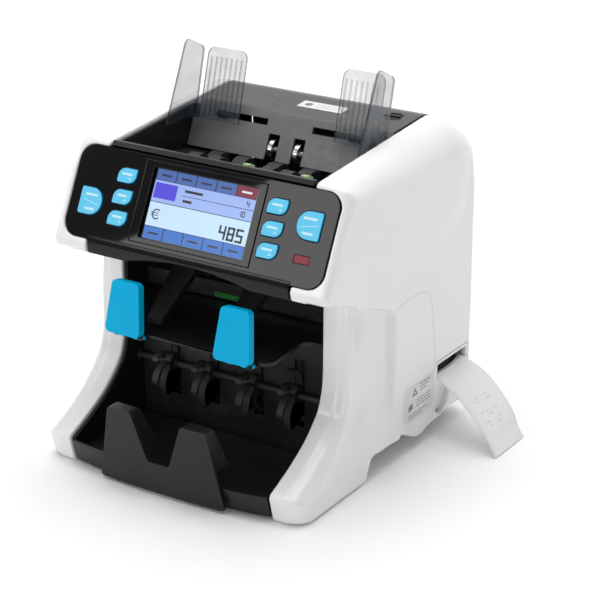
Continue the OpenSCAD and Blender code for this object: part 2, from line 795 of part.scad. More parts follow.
// Black walls behind the two pockets, the green sensor board, and the shaft that carries the arms.
module pocket_walls() {
    color("#111213") {
        difference() {
            box([-bay_x, -25, 126.2], [bay_x, -22.5, 140]);
            box([-27.6, -26, 127.2], [-1, -22, 131.4]);
        }
        difference() {
            box([-bay_x, -34, 9.7], [bay_x, -31.5, 116]);
            for (x = [-62, -22, 22, 62]) box([x - 4.5, -40, 34], [x + 4.5, -20, 94]);
        }
        rod_x(arm_at, shaft_r, -inner_x, inner_x);
    }
    color("#1e7a3a") box([-27.6, -24.4, 127.2], [-1, -22.9, 131.4]);
}

// ---- stacker ----
// Plan of the tray: its front edge bows forward, with a flat middle behind the front stop.
module bowed(inset) {
    w = bay_x;
    edge = [[95.8, 0], [86, 2.2], [76, 4], [68, 5.1], [61, 5.6], [54, 5.8]];
    polygon(concat([for (e = edge) [e[0], foot_front - e[1] + inset]],
        [for (i = [5:-1:0]) [-edge[i][0], foot_front - edge[i][1] + inset]],
        [[-w, arch_y], [w, arch_y]]));
}
rail_x = 32;
rail_z = 7;
module stacker_tray() {
    color("#17181a") difference() {
        hull() {
            translate([0, 0, 3]) linear_extrude(0.5) bowed(5.5);
            translate([0, 0, tray_top - 1.5]) linear_extrude(1.5) bowed(0);
        }
        hull() {
            translate([0, 0, 12]) linear_extrude(0.2) scale([1.01, 1]) bowed(6);
            translate([0, 0, tray_top]) linear_extrude(1) scale([1.01, 1]) bowed(2.6);
        }
        box([-bay_x - 1, -38, 9.5], [bay_x + 1, arch_y + 1, 30]);
        both_sides() rod_y([rail_x, rail_z], 2.56, -150, arch_y + 1);
    }
}
// Front stop of the lower pocket: two raised fingers on a plate that leans and bows forward.
stop_plate_y = -141;
stop_plate_z = 2.5;
stop_plate_lean = 4.6;
module front_stop_outline() {
    h = front_stop_h + stop_plate_z;
    polygon(concat(
        arc([-57.5, 5.6], 3, 187, 270, 4), arc([57.5, 5.6], 3, 270, 353, 4),
        arc([44.7, h - 3.5], 3.5, 8, 95, 5), arc([26.6, h - 3.5], 3.5, 90, 160, 5),
        arc([8.4, 32.3], 2.6, -25, -90, 4), arc([-8.4, 32.3], 2.6, 270, 205, 4),
        arc([-26.6, h - 3.5], 3.5, 20, 90, 5), arc([-44.7, h - 3.5], 3.5, 85, 172, 5)));
}
module front_stop() {
    bow = 2.3;
    r = (60.7 * 60.7 + bow * bow) / (2 * bow);
    a = asin(66 / r);
    color("#1b1c1e") {
        intersection() {
            along_y(-156, -132) front_stop_outline();
            translate([0, stop_plate_y, stop_plate_z]) rotate([stop_plate_lean, 0, 0])
                translate([0, 0, -2]) linear_extrude(76) polygon(concat(
                    arc([0, r - bow], r, 270 - a, 270 + a, 16),
                    arc([0, r - bow], r - 2.5, 270 + a, 270 - a, 16)));
        }
        intersection() {
            along_y(-156, -118) difference() {
                front_stop_outline();
                offset(delta = -2.2) front_stop_outline();
            }
            along_x(-70, 70) polygon([[-143.7, 36], [-124.5, 36], [-136.4, 72], [-146.6, 72]]);
        }
        both_sides() rod_y([rail_x, rail_z], 2.5, -142, -60);
    }
}

// ---- printer ----
module printer_front() {
    color("white") difference() {
        intersection() {
            difference() {
                cover_form(0);
                cover_form(cover_wall);
            }
            printer_opening(0);
            box([half_w - 6.5, 0, 0], [half_w + 5, rear_y, 100]);
        }
        box([inner_x, printer_y0 + 2.2, 50.2], [half_w + 5, printer_y1 - 2.2, 60.4]);
        translate([half_w - 4, 86, 35]) rotate([0, 90, 0]) cylinder(r = 13, h = 10);
    }
}
module printer_tray() {
    x0 = 62;
    x1 = 124;
    color("#c9cbcd") difference() {
        box([x0, printer_y0 + 1, printer_z0 + 1], [x1, printer_y1 - 1, printer_z1 - 4]);
        box([x0 + 2, printer_y0 + 3, printer_z0 + 3], [x1 - 2, printer_y1 - 4, printer_z1]);
        box([x1 - 4, paper_mid_y - paper_w / 2 - 2, 50], [x1 + 1, paper_mid_y + paper_w / 2 + 2, 61]);
        rod_y(roll_at, 4.05, printer_y0, printer_y1);
        rod_y(platen_at, 2.05, printer_y0, printer_y1);
    }
}
module paper_roll() {
    color("white") {
        rod_y(roll_at, roll_r, printer_y0 + 5, printer_y1 - 6);
        rod_y(roll_at, 4, printer_y0 + 1.5, printer_y1 - 3);
    }
}
module platen_roller() {
    color("#222222") {
        rod_y(platen_at, platen_r, printer_y0 + 4, printer_y1 - 5);
        rod_y(platen_at, 2, printer_y0 + 1.5, printer_y1 - 3);
    }
}
// The receipt bends down to the table and lies there askew.
module paper_strip() {
    n = len(paper_path) - 1;
    color("white") translate([half_w - 2, paper_mid_y, 0]) rotate([0, 0, -paper_skew])
        along_y(-paper_w / 2, paper_w / 2) polygon(concat(
            [for (p = paper_path) p - [half_w - 2, 0]],
            [for (i = [n:-1:0]) paper_path[i] - [half_w - 2 + 0.25, 0.25]]));
}
module power_supply() {
    color("#b4b6b8") difference() {
        box([-92, 0, base_z + 2], [-10, 100, 48]);
        for (i = [0:8]) box([-83 + 8 * i, 10, 46.5], [-80 + 8 * i, 90, 49]);
    }
}
module main_board() {
    color("darkgreen") {
        box([2, 4, 16], [56, 124, 17.6]);
        for (x = [8, 50], y = [10, 118]) translate([x, y, base_z + 2]) cylinder(r = 2.5, h = 16 - base_z - 2);
        box([12, 20, 17.6], [30, 38, 20]);
        box([12, 56, 17.6], [44, 70, 21]);
        for (i = [0:3]) translate([40, 84 + 9 * i, 17.6]) cylinder(r = 3.2, h = 9);
    }
}

side_cover_left();
side_cover_right();
side_frame_left();
side_frame_right();
base_pan();
feet();
top_cover();
rear_door();
rear_panel();
hopper_tray();
hopper_back_plate();
head_lower_cover();
panel_housing();
panel_fascia();
display_screen();
indicator_window();
control_board();
start_stop_button();
back_button();
left_key(0);  // left_key_1
left_key(1);  // left_key_2
left_key(2);  // left_key_3
right_key(0);  // right_key_1
right_key(1);  // right_key_2
right_key(2);  // right_key_3
guide_left();
guide_right();
guide_pinion();
gap_knob();
pickup_rollers();
pickup_gears();
retard_rollers();
feed_rollers();
upper_drive_rollers();
lower_drive_rollers();
pinch_rollers();
exit_rollers();
stacker_wheels();
bushes();
drive_belts();
drive_motor();
motor_pulley();
sensor_bars();
diverter();
reject_shelf();
reject_stop_left();
reject_stop_right();
hold_down_arm_left();
hold_down_arm_right();
pocket_walls();
stacker_tray();
front_stop();
printer_front();
printer_tray();
paper_roll();
platen_roller();
paper_strip();
power_supply();
main_board();
power_switch();
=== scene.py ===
"""Looks of the banknote counting machine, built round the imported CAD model.

Camera, lights and floor are in metres. Shapes are worked out in mm and scaled by MM when a mesh is made.
"""

import json
import math

import bmesh
import bpy
import numpy as np
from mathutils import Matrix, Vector
from mathutils.geometry import tessellate_polygon

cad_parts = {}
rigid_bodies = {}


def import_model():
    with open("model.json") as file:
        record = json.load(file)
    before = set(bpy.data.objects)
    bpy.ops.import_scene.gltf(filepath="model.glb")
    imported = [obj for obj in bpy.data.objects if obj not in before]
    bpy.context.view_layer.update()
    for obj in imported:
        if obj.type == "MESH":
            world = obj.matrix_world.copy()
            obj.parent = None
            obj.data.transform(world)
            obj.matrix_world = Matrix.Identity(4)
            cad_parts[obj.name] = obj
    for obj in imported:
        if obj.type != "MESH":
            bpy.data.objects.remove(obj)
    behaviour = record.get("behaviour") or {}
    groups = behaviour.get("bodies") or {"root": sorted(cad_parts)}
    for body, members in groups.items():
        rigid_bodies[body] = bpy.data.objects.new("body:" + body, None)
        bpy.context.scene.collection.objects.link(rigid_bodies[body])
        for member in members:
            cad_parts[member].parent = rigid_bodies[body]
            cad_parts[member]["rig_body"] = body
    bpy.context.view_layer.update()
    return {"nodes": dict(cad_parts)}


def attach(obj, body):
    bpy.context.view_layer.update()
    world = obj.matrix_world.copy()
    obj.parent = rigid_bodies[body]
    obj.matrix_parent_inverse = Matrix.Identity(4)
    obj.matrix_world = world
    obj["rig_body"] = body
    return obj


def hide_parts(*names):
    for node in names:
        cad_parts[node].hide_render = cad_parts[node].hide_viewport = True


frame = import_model()
MM = 0.001

# ---------------------------------------------------------------- camera


def make_camera():
    target = Vector((0.0100, 0.0477, 0.1072))
    azimuth, elevation, distance = math.radians(32.63), math.radians(21.83), 1.7005
    back = Vector((math.sin(azimuth) * math.cos(elevation), -math.cos(azimuth) * math.cos(elevation),
                   math.sin(elevation)))
    data = bpy.data.cameras.new("camera")
    data.lens = 120.0
    data.sensor_width = 36.0
    data.clip_start, data.clip_end = 0.05, 50
    cam = bpy.data.objects.new("camera", data)
    cam.location = target + back * distance
    cam.rotation_mode = "QUATERNION"
    cam.rotation_quaternion = (-back).to_track_quat("-Z", "Y")
    bpy.context.scene.collection.objects.link(cam)
    bpy.context.scene.camera = cam


make_camera()

# ---------------------------------------------------------------- materials


class Nodes:
    """A short way to write a node material."""

    def __init__(self, name):
        self.mat = bpy.data.materials.new(name)
        self.mat.use_nodes = True
        self.tree = self.mat.node_tree
        self.bsdf = self.tree.nodes["Principled BSDF"]
        self.coords = self.add("ShaderNodeTexCoord").outputs["Object"]

    def add(self, kind, **values):
        node = self.tree.nodes.new(kind)
        for key, value in values.items():
            if key in node.inputs:
                self.put(node.inputs[key], value)
            else:
                setattr(node, key, value)
        return node

    def put(self, socket, value):
        if isinstance(value, bpy.types.NodeSocket):
            self.tree.links.new(value, socket)
        elif isinstance(value, (tuple, list)) and len(value) == 3 and len(socket.default_value) == 4:
            socket.default_value = (*value, 1.0)
        else:
            socket.default_value = value

    def set(self, **values):
        for key, value in values.items():
            self.put(self.bsdf.inputs[key.replace("_", " ")], value)

    def noise(self, scale, detail=3.0, rough=0.55, vector=None):
        node = self.add("ShaderNodeTexNoise", Scale=scale, Detail=detail, Roughness=rough)
        self.put(node.inputs["Vector"], vector or self.coords)
        return node.outputs["Fac"]

    def mapped(self, fac, lo, hi, from_lo=0.3, from_hi=0.7):
        node = self.add("ShaderNodeMapRange")
        self.put(node.inputs["Value"], fac)
        for key, value in (("From Min", from_lo), ("From Max", from_hi), ("To Min", lo), ("To Max", hi)):
            node.inputs[key].default_value = value
        return node.outputs["Result"]

    def mix(self, fac, a, b):
        node = self.add("ShaderNodeMix", data_type="RGBA")
        self.put(node.inputs["Factor"], fac)
        colour_in = [s for s in node.inputs if s.type == "RGBA"]
        self.put(colour_in[0], a)
        self.put(colour_in[1], b)
        return [s for s in node.outputs if s.type == "RGBA"][0]

    def math(self, operation, a, b=0.0):
        node = self.add("ShaderNodeMath", operation=operation)
        self.put(node.inputs[0], a)
        self.put(node.inputs[1], b)
        return node.outputs[0]

    def bump(self, height, strength=0.1, distance=0.0005):
        node = self.add("ShaderNodeBump", Strength=strength, Distance=distance)
        self.put(node.inputs["Height"], height)
        self.put(self.bsdf.inputs["Normal"], node.outputs["Normal"])


def shade(colour, factor):
    return tuple(min(1.0, c * factor) for c in colour)


def moulded(name, colour, rough=0.4, grain=0.0, grain_scale=1800, coat=0.0, spread=0.06, wear=None,
            metallic=0.0, specular=0.5, marks=0.06):
    """Moulded or painted surface: mottling, fine grain, handling marks in the gloss, lighter worn edges."""
    n = Nodes(name)
    cloud = n.noise(22, 4)
    base = n.mix(n.mapped(cloud, 0, 1), shade(colour, 1 - spread), shade(colour, 1 + spread))
    if wear:
        geometry = n.add("ShaderNodeNewGeometry")
        edge = n.mapped(geometry.outputs["Pointiness"], 0, 0.55, 0.53, 0.64)
        edge = n.math("MULTIPLY", edge, n.mapped(n.noise(160, 3), 0, 1))
        base = n.mix(edge, base, wear)
    handled = n.mapped(n.noise(55, 5, 0.65), rough - marks, rough + marks)
    n.set(Base_Color=base, Roughness=handled, Metallic=metallic, Coat_Weight=coat, Coat_Roughness=0.08)
    n.bsdf.inputs["Specular IOR Level"].default_value = specular
    if grain:
        n.bump(n.noise(grain_scale, 2, 0.5), grain, 0.0002)
    return n.mat


def brushed(name, colour, rough=0.3, axis=0):
    n = Nodes(name)
    stretch = [900.0, 900.0, 900.0]
    stretch[axis] = 12.0
    mapping = n.add("ShaderNodeMapping")
    n.put(mapping.inputs["Vector"], n.coords)
    mapping.inputs["Scale"].default_value = stretch
    lines = n.noise(1.0, 2, 0.5, mapping.outputs["Vector"])
    n.set(Base_Color=n.mix(n.mapped(lines, 0, 1), shade(colour, 0.85), shade(colour, 1.1)), Metallic=1.0,
          Roughness=n.mapped(lines, rough - 0.07, rough + 0.1))
    n.bump(lines, 0.08, 0.0001)
    return n.mat


def clear_plastic(name, colour, alpha=0.3, edge_alpha=0.55):
    """Smoke-tinted clear moulding: darker where it is seen edge on, and a little hazed by handling."""
    n = Nodes(name)
    haze = n.mapped(n.noise(60, 4), alpha - 0.03, alpha + 0.04)
    facing = n.add("ShaderNodeLayerWeight", Blend=0.35).outputs["Facing"]
    edge = n.math("MULTIPLY", n.math("POWER", facing, 2.2), edge_alpha)
    n.set(Base_Color=colour, Roughness=n.mapped(n.noise(120, 4), 0.05, 0.13), Alpha=n.math("ADD", haze, edge))
    n.bsdf.inputs["Specular IOR Level"].default_value = 0.7
    n.bump(n.noise(35, 2), 0.03, 0.001)
    return n.mat


def lit(name, colour, strength=0.9, spread=0.04):
    """A lit part of the screen."""
    n = Nodes(name)
    glow = n.mix(n.mapped(n.noise(30, 2), 0, 1), shade(colour, 1 - spread), shade(colour, 1 + spread))
    n.set(Base_Color=shade(colour, 0.2), Roughness=0.25, Emission_Color=glow,
          Emission_Strength=0.78 * strength)
    return n.mat


WHITE = moulded("white_gloss", (0.82, 0.82, 0.822), 0.26, coat=0.3, spread=0.006, marks=0.012)
BLACK = moulded("black_plastic", (0.010, 0.010, 0.011), 0.34, 0.05, 1500, wear=(0.06, 0.06, 0.06),
                specular=0.32, marks=0.04)
DARK = moulded("dark_textured", (0.03, 0.031, 0.034), 0.5, 0.16, 1700, wear=(0.1, 0.1, 0.1))
GREY = moulded("grey_plate", (0.15, 0.155, 0.16), 0.42, 0.12, 1600, wear=(0.26, 0.26, 0.26))
GLOSS_BLACK = moulded("fascia_gloss", (0.002, 0.002, 0.003), 0.035, spread=0.1, specular=0.35, marks=0.008)
TOP_DARK = moulded("top_gloss_dark", (0.018, 0.018, 0.02), 0.26, 0.04, 1500, wear=(0.06, 0.06, 0.06))
STEEL_BLACK = moulded("black_steel", (0.016, 0.016, 0.017), 0.42, 0.04, 1200, metallic=0.3,
                      wear=(0.06, 0.06, 0.06), marks=0.03)
LIP = moulded("lip_gloss", (0.004, 0.004, 0.005), 0.14, spread=0.1, specular=0.3, marks=0.02)
RUBBER = moulded("black_rubber", (0.02, 0.02, 0.021), 0.62, 0.25, 1400, spread=0.15, wear=(0.06, 0.06, 0.06))
KEY_BLUE = moulded("key_blue", (0.12, 0.57, 0.84), 0.36, 0.05, 1500, spread=0.03, wear=(0.12, 0.6, 0.82),
                   specular=0.3)
# a darker copy of the key blue for the keys' rounded edges and sides: painted shade
KEY_SIDE_SHADE = moulded("key_side_painted_shade", (0.0, 0.19, 0.38), 0.35, 0.05, 1500)
KEY_MARK = moulded("key_mark", (0.55, 0.80, 0.90), 0.4)
STOP_BLUE = moulded("stop_blue", (0.0, 0.41, 0.71), 0.36, 0.03, 1400, spread=0.03, specular=0.12, marks=0.03)
SMOKE = clear_plastic("smoke_clear", (0.06, 0.075, 0.09), 0.20, 0.6)
NYLON = moulded("dark_nylon", (0.05, 0.055, 0.045), 0.45, 0.06, 1400)
PALE_GEAR = moulded("pale_gear", (0.42, 0.62, 0.33), 0.4, 0.06, 1400)
CHROME = brushed("bright_steel", (0.72, 0.72, 0.73), 0.18)
BRONZE = brushed("bronze", (0.50, 0.34, 0.14), 0.38)
MOTOR = brushed("motor_steel", (0.45, 0.45, 0.47), 0.36)
SMOKE_EDGE = clear_plastic("smoke_edge", (0.015, 0.025, 0.04), 0.66, 0.2)
SENSOR_GREEN = moulded("sensor_green", (0.02, 0.27, 0.03), 0.4, 0.1, 700, spread=0.15)
BOARD = moulded("circuit_green", (0.015, 0.11, 0.045), 0.35, 0.15, 700, spread=0.2)
RED = moulded("red_window", (0.19, 0.003, 0.018), 0.2, specular=0.25)
PAPER = moulded("thermal_paper", (0.80, 0.80, 0.79), 0.55, 0.06, 900, spread=0.01)
PRINTER = moulded("printer_grey", (0.40, 0.41, 0.42), 0.45, 0.08, 1500, wear=(0.5, 0.5, 0.5))
LABEL = moulded("label_film", (0.68, 0.68, 0.68), 0.35, 0.02, 900, spread=0.02)
INK = moulded("grey_ink", (0.16, 0.16, 0.17), 0.5)
SEAM = moulded("seam_shadow", (0.40, 0.40, 0.41), 0.6)
PRINT = moulded("faint_print", (0.52, 0.52, 0.54), 0.6)

NODES_OF = [
    (STEEL_BLACK, ["side_frame_left", "side_frame_right", "base_pan", "pocket_walls"]),
    (RUBBER, ["feet", "pickup_rollers", "feed_rollers", "upper_drive_rollers", "lower_drive_rollers",
              "exit_rollers", "stacker_wheels", "drive_belts", "platen_roller"]),
    (TOP_DARK, ["top_cover"]),
    (DARK, ["rear_door", "rear_panel"]),
    (BLACK, ["hopper_tray", "panel_housing", "gap_knob", "sensor_bars", "diverter", "reject_shelf",
             "hold_down_arm_left", "hold_down_arm_right", "stacker_tray", "front_stop", "power_switch"]),
    (GREY, ["hopper_back_plate"]),
    (LIP, ["head_lower_cover"]),
    (GLOSS_BLACK, ["panel_fascia", "display_screen"]),
    (RED, ["indicator_window"]),
    (BOARD, ["control_board", "main_board"]),
    (SMOKE, ["guide_left", "guide_right"]),
    (NYLON, ["guide_pinion"]),
    (PALE_GEAR, ["pickup_gears"]),
    (CHROME, ["retard_rollers", "pinch_rollers"]),
    (BRONZE, ["bushes", "motor_pulley"]),
    (MOTOR, ["drive_motor", "power_supply"]),
    (STOP_BLUE, ["reject_stop_left", "reject_stop_right"]),
    (WHITE, ["printer_front", "side_cover_left", "side_cover_right"]),
    (PRINTER, ["printer_tray"]),
    (PAPER, ["paper_roll", "paper_strip"]),
]
NODE_MATERIAL = {node: material for material, nodes in NODES_OF for node in nodes}
BUTTONS = ["start_stop_button", "back_button", "left_key_1", "left_key_2", "left_key_3", "right_key_1",
           "right_key_2", "right_key_3"]
for button in BUTTONS:
    NODE_MATERIAL[button] = KEY_BLUE
BODY_OF = {n: o["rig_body"] for n, o in frame["nodes"].items()}

# ---------------------------------------------------------------- mesh helpers


def new_object(name, mesh, material, body, smooth=True):
    obj = bpy.data.objects.new(name, mesh)
    bpy.context.scene.collection.objects.link(obj)
    for m in material if isinstance(material, (list, tuple)) else [material]:
        mesh.materials.append(m)
    if smooth:
        mesh.polygons.foreach_set("use_smooth", [True] * len(mesh.polygons))
    if body:
        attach(obj, body)
    return obj


def refine(node, bevel_mm=0.5, segments=3, name=None, angle=32, flat=0.6):
    """A copy of a CAD node with its edges rounded, shown in place of the node."""
    source = frame["nodes"][node]
    bm = bmesh.new()
    bm.from_mesh(source.data)
    bmesh.ops.remove_doubles(bm, verts=bm.verts, dist=2e-6)
    bmesh.ops.dissolve_limit(bm, angle_limit=math.radians(flat), verts=bm.verts, edges=bm.edges)
    mesh = bpy.data.meshes.new(name or node + "_shape")
    bm.to_mesh(mesh)
    bm.free()
    obj = new_object(name or node + "_shape", mesh, NODE_MATERIAL[node], None, smooth=True)
    mod = obj.modifiers.new("round", "BEVEL")
    mod.width = bevel_mm * MM
    mod.segments = segments
    mod.limit_method = "ANGLE"
    mod.angle_limit = math.radians(angle)
    mod.use_clamp_overlap = True
    weigh = obj.modifiers.new("normals", "WEIGHTED_NORMAL")
    weigh.weight = 100
    weigh.keep_sharp = True
    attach(obj, BODY_OF[node])
    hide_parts(node)
    return obj


def from_arrays(name, verts, faces):
    mesh = bpy.data.meshes.new(name)
    mesh.from_pydata([tuple(v) for v in verts], [], [tuple(int(i) for i in f) for f in faces])
    mesh.update()
    return mesh


# ---------------------------------------------------------------- solids from distance functions


def polygon_distance(py, pz, polygon):
    """Signed distance in mm from points to a closed polygon, negative inside."""
    best = np.full(py.shape, 1e9)
    inside = np.zeros(py.shape, bool)
    count = len(polygon)
    for i in range(count):
        ay, az = polygon[i]
        by, bz = polygon[(i + 1) % count]
        ey, ez = by - ay, bz - az
        length = ey * ey + ez * ez
        if length < 1e-12:
            continue
        t = np.clip(((py - ay) * ey + (pz - az) * ez) / length, 0, 1)
        best = np.minimum(best, (py - ay - t * ey) ** 2 + (pz - az - t * ez) ** 2)
        if az != bz:
            crosses = ((az > pz) != (bz > pz)) & (py < ey * (pz - az) / (bz - az) + ay)
            inside ^= crosses
    best = np.sqrt(best)
    return np.where(inside, -best, best)


def round_and(a, b, r):
    """Intersection of two solids with the shared edge rounded to radius r."""
    u = np.maximum(a + r, 0)
    v = np.maximum(b + r, 0)
    return np.minimum(-r, np.maximum(a, b)) + np.hypot(u, v)


def soft_or(a, b, k):
    """Union of two solids with a fillet about k wide."""
    h = np.clip(0.5 + 0.5 * (b - a) / k, 0, 1)
    return b + (a - b) * h - k * h * (1 - h)


def ramp(x, a, b):
    t = np.clip((x - a) / (b - a), 0, 1)
    return t * t * (3 - 2 * t)


def surface_net(field, lo, hi, step, refine_rounds=3):
    """Closed quad mesh of field(x, y, z) = 0 in mm, with its vertices moved onto the surface."""
    axes = [np.arange(lo[i], hi[i] + step, step) for i in range(3)]
    values = np.empty([len(a) for a in axes])
    gy, gz = np.meshgrid(axes[1], axes[2], indexing="ij")
    for i, x in enumerate(axes[0]):
        values[i] = field(np.full(gy.shape, x), gy, gz)
    inside = values < 0
    nx, ny, nz = values.shape
    corners = [(i, j, k) for i in (0, 1) for j in (0, 1) for k in (0, 1)]
    total = np.zeros((nx - 1, ny - 1, nz - 1), int)
    for i, j, k in corners:
        total += inside[i:nx - 1 + i, j:ny - 1 + j, k:nz - 1 + k]
    mixed = (total > 0) & (total < 8)
    index = np.full(mixed.shape, -1)
    cells = np.argwhere(mixed)
    index[mixed] = np.arange(len(cells))
    point_sum = np.zeros((len(cells), 3))
    point_count = np.zeros(len(cells))
    for a in range(8):
        for b in range(a + 1, 8):
            ca, cb = np.array(corners[a]), np.array(corners[b])
            if abs(ca - cb).sum() != 1:
                continue
            va = values[tuple((cells + ca).T)]
            vb = values[tuple((cells + cb).T)]
            hit = (va < 0) != (vb < 0)
            t = np.where(hit, va / np.where(hit, va - vb, 1), 0)
            point = ca + (cb - ca) * t[:, None]
            point_sum[hit] += point[hit]
            point_count[hit] += 1
    verts = (cells + point_sum / point_count[:, None]) * step + np.array(lo)
    quads = []
    for axis in range(3):
        o1, o2 = [d for d in range(3) if d != axis]
        a = [slice(1, -1)] * 3
        b = [slice(1, -1)] * 3
        a[axis] = slice(0, -1)
        b[axis] = slice(1, None)
        va, vb = inside[tuple(a)], inside[tuple(b)]
        change = np.argwhere(va != vb)
        starts = va[tuple(change.T)]
        base = change + 1
        base[:, axis] = change[:, axis]
        ring = []
        for d1, d2 in ((-1, -1), (0, -1), (0, 0), (-1, 0)):
            cell = base.copy()
            cell[:, o1] += d1
            cell[:, o2] += d2
            ring.append(index[tuple(cell.T)])
        ring = np.stack(ring, 1)
        flip = starts if axis != 1 else ~starts
        ring[~flip] = ring[~flip][:, ::-1]
        quads.append(ring)
    quads = np.concatenate(quads)
    eps = 0.05
    for _ in range(refine_rounds):
        f = field(verts[:, 0], verts[:, 1], verts[:, 2])
        grad = np.stack([(field(*(verts + eps * np.eye(3)[d]).T) - f) / eps for d in range(3)], 1)
        norm = np.maximum((grad ** 2).sum(1), 0.2)
        move = -f[:, None] * grad / norm[:, None]
        verts = verts + np.clip(move, -0.4 * step, 0.4 * step)
    return verts, quads


def arc(cy, cz, r, a0, a1, n=12):
    return [(cy + r * math.cos(math.radians(a0 + (a1 - a0) * i / n)),
             cz + r * math.sin(math.radians(a0 + (a1 - a0) * i / n))) for i in range(n + 1)]


def round_rect(w, h, r, n=10, at=(0, 0)):
    """Corner radii r run top right, top left, bottom left, bottom right."""
    corners = [(w / 2 - r[0], h / 2 - r[0], r[0], 0), (-w / 2 + r[1], h / 2 - r[1], r[1], 90),
               (-w / 2 + r[2], -h / 2 + r[2], r[2], 180), (w / 2 - r[3], -h / 2 + r[3], r[3], 270)]
    points = []
    for cx, cy, radius, start in corners:
        points += arc(cx, cy, radius, start, start + 90, n) if radius > 0 else [(cx, cy)]
    return [(x + at[0], y + at[1]) for x, y in points]


def smooth_line(points, per=8):
    """Catmull-Rom curve through 2D points."""
    p = [points[0]] + list(points) + [points[-1]]
    out = []
    for i in range(1, len(p) - 2):
        a, b, c, d = (np.array(q, float) for q in p[i - 1:i + 3])
        for s in range(per):
            t = s / per
            out.append(tuple(0.5 * ((2 * b) + (c - a) * t + (2 * a - 5 * b + 4 * c - d) * t * t
                                    + (3 * b - a - 3 * c + d) * t ** 3)))
    out.append(tuple(points[-1]))
    return out


# ---------------------------------------------------------------- side covers (mm)

INNER_X, WALL = 98.0, 5.0
HEAD_LOW = (-103.0, 176.5)
TOP_FRONT, TOP_REAR, REAR_R, REAR_Y = (-64.0, 260.0), (98.0, 271.5), 40.0, 138.0
PANEL_AT, PANEL_TILT = (-102.0, 188.0), 26.5


def under_z(y):
    return HEAD_LOW[1] - 0.36 * (y - HEAD_LOW[0])


# outlines seen from the side, as (y, z)
LEG_LINE = [(-133.4, 19.5), (-134, 22), (-133.6, 24), (-131.5, 25.6)] + smooth_line(
    [(-128, 27), (-121, 30), (-106.5, 36.8), (-94.5, 43.4), (-84, 50.1), (-75.9, 57), (-70, 62.5),
     (-63.5, 70.5), (-58.5, 84), (-56.6, 97), (-56.3, 118)], 4)
BODY_LINE = ([(-56, under_z(-56)), HEAD_LOW, (-104.6, 183.5), (-68.5, 256.5)]
             + arc(-63, 254.5, 5.5, 140, 95, 5)
             + arc(TOP_REAR[0], TOP_REAR[1] - REAR_R, REAR_R, 90, 0, 24) + [(REAR_Y, 30)]
             + arc(REAR_Y - 12, 29.6, 12, 0, -90, 6)
             + smooth_line([(116, 16.7), (85.5, 14.2), (62, 11.8), (57.5, 10.2), (53, 9.6), (48, 9.6),
                            (44, 10.3), (36, 13.6), (29, 17.4), (21, 20.8), (12, 21.3), (-22, 21.3)], 3)
             + [(-27, 20), (-30, 16.5), (-36, 1.5), (-128.4, 1.5), (-129.4, 5)] + LEG_LINE)
LEG_AREA = [(60, -60), (-111.3, -60), (-129.4, 5)] + LEG_LINE + [(-55.9, 150), (-55.7, 260), (60, 260)]
CREASE = smooth_line([(-92, 196), (-67, 191), (-9, 176.5), (53, 168), (96, 179), (117, 199), (124, 236),
                      (122, 262)])
CREASE_AREA = CREASE + [(100, 330), (-150, 330), (-150, 205)]
SEAM_LINE = smooth_line([(4, 138.4), (24, 141.3), (42, 140.5), (55, 137), (61.5, 129), (65.3, 112), (69, 92),
                         (72.3, 69)])


def edge_radius(y, z):
    """How far the outer edge is rounded, round the outline of the body."""
    angle = np.degrees(np.arctan2(z - 150, y - 20))
    angle = np.where(angle < -120, angle + 360, angle)
    return np.interp(angle, [-95, -53, -46, 0, 28, 38, 50, 62, 74, 100, 122, 131, 139, 166, 178, 190],
                     [2.5, 2.5, 7, 8, 8, 14, 28, 34, 34, 27, 20, 12, 6.5, 5.5, 3, 2.5])


def body_side_x(y, z):
    """The outer face of the body at (y, z)."""
    d = -polygon_distance(y, z, CREASE_AREA)
    fade = ramp(y, -84, -40)
    rise = np.where(d > 0, 1 - (1 - np.clip(d / 26, 0, 1)) ** 2, 0)
    low = 129.2 - 0.9 * ramp(z, 120, 20)
    return low * fade + 131 * (1 - fade) + (131 - low) * rise * fade


def leg_side_x(y, z):
    """The outer face of the leg: recessed under the head, dished at the top and flared at the foot."""
    rear = ramp(y, -70, -6)
    x = 121.8 + 2.2 * ramp(y, -40, 4)
    x = x + 4.7 * np.clip((92 - z) / 70, 0, 1) * (1 - rear) + 5.0 * ramp(z, 62, 22) * rear
    dish = np.exp(-((y + 45) / (3.0 + 8.0 * np.clip((z - 102) / 58, 0, 1))) ** 2)
    return x - 4.2 * dish * ramp(z, 104, 150)


def cover_outside(x, y, z):
    outline = polygon_distance(y, z, BODY_LINE)
    head = round_and(outline, x - body_side_x(y, z), edge_radius(y, z))
    # the space beside the leg, under the head, with a rounded top rear corner
    corner = 9.0
    relief = round_and(y - 4.5, z - (under_z(y) + 0.5), corner)
    relief = np.maximum(relief, 112 - x)
    head = round_and(head, -relief, 2.2)
    # the leg, with its own wide front rounding
    front = polygon_distance(y, z, LEG_AREA)
    leg = round_and(front, x - leg_side_x(y, z),
                    np.interp(z, [0, 20, 35, 50, 70, 95, 150], [15, 15, 13, 9, 5, 3.5, 4]))
    leg = round_and(leg, 1.5 - z, 2.5)
    leg = np.maximum(leg, outline - 30 * ramp(z, 150, 168))
    leg = np.maximum(leg, np.maximum(y - 14, z - (under_z(y) + 8)))
    return soft_or(head, leg, 3.0)


def panel_box(x, y, z, grow):
    """Signed distance to the pocket that holds the control panel."""
    tilt = math.radians(PANEL_TILT)
    v = (y - PANEL_AT[0]) * math.sin(tilt) + (z - PANEL_AT[1]) * math.cos(tilt)
    w = -(y - PANEL_AT[0]) * math.cos(tilt) + (z - PANEL_AT[1]) * math.sin(tilt)
    r = 14.0
    qx = np.abs(x) - (124.2 + grow - r)
    qv = np.abs(v - 38) - (38.3 + grow - r)
    flat = np.hypot(np.maximum(qx, 0), np.maximum(qv, 0)) + np.minimum(np.maximum(qx, qv), 0) - r
    return np.maximum(flat, -12 - grow - w)


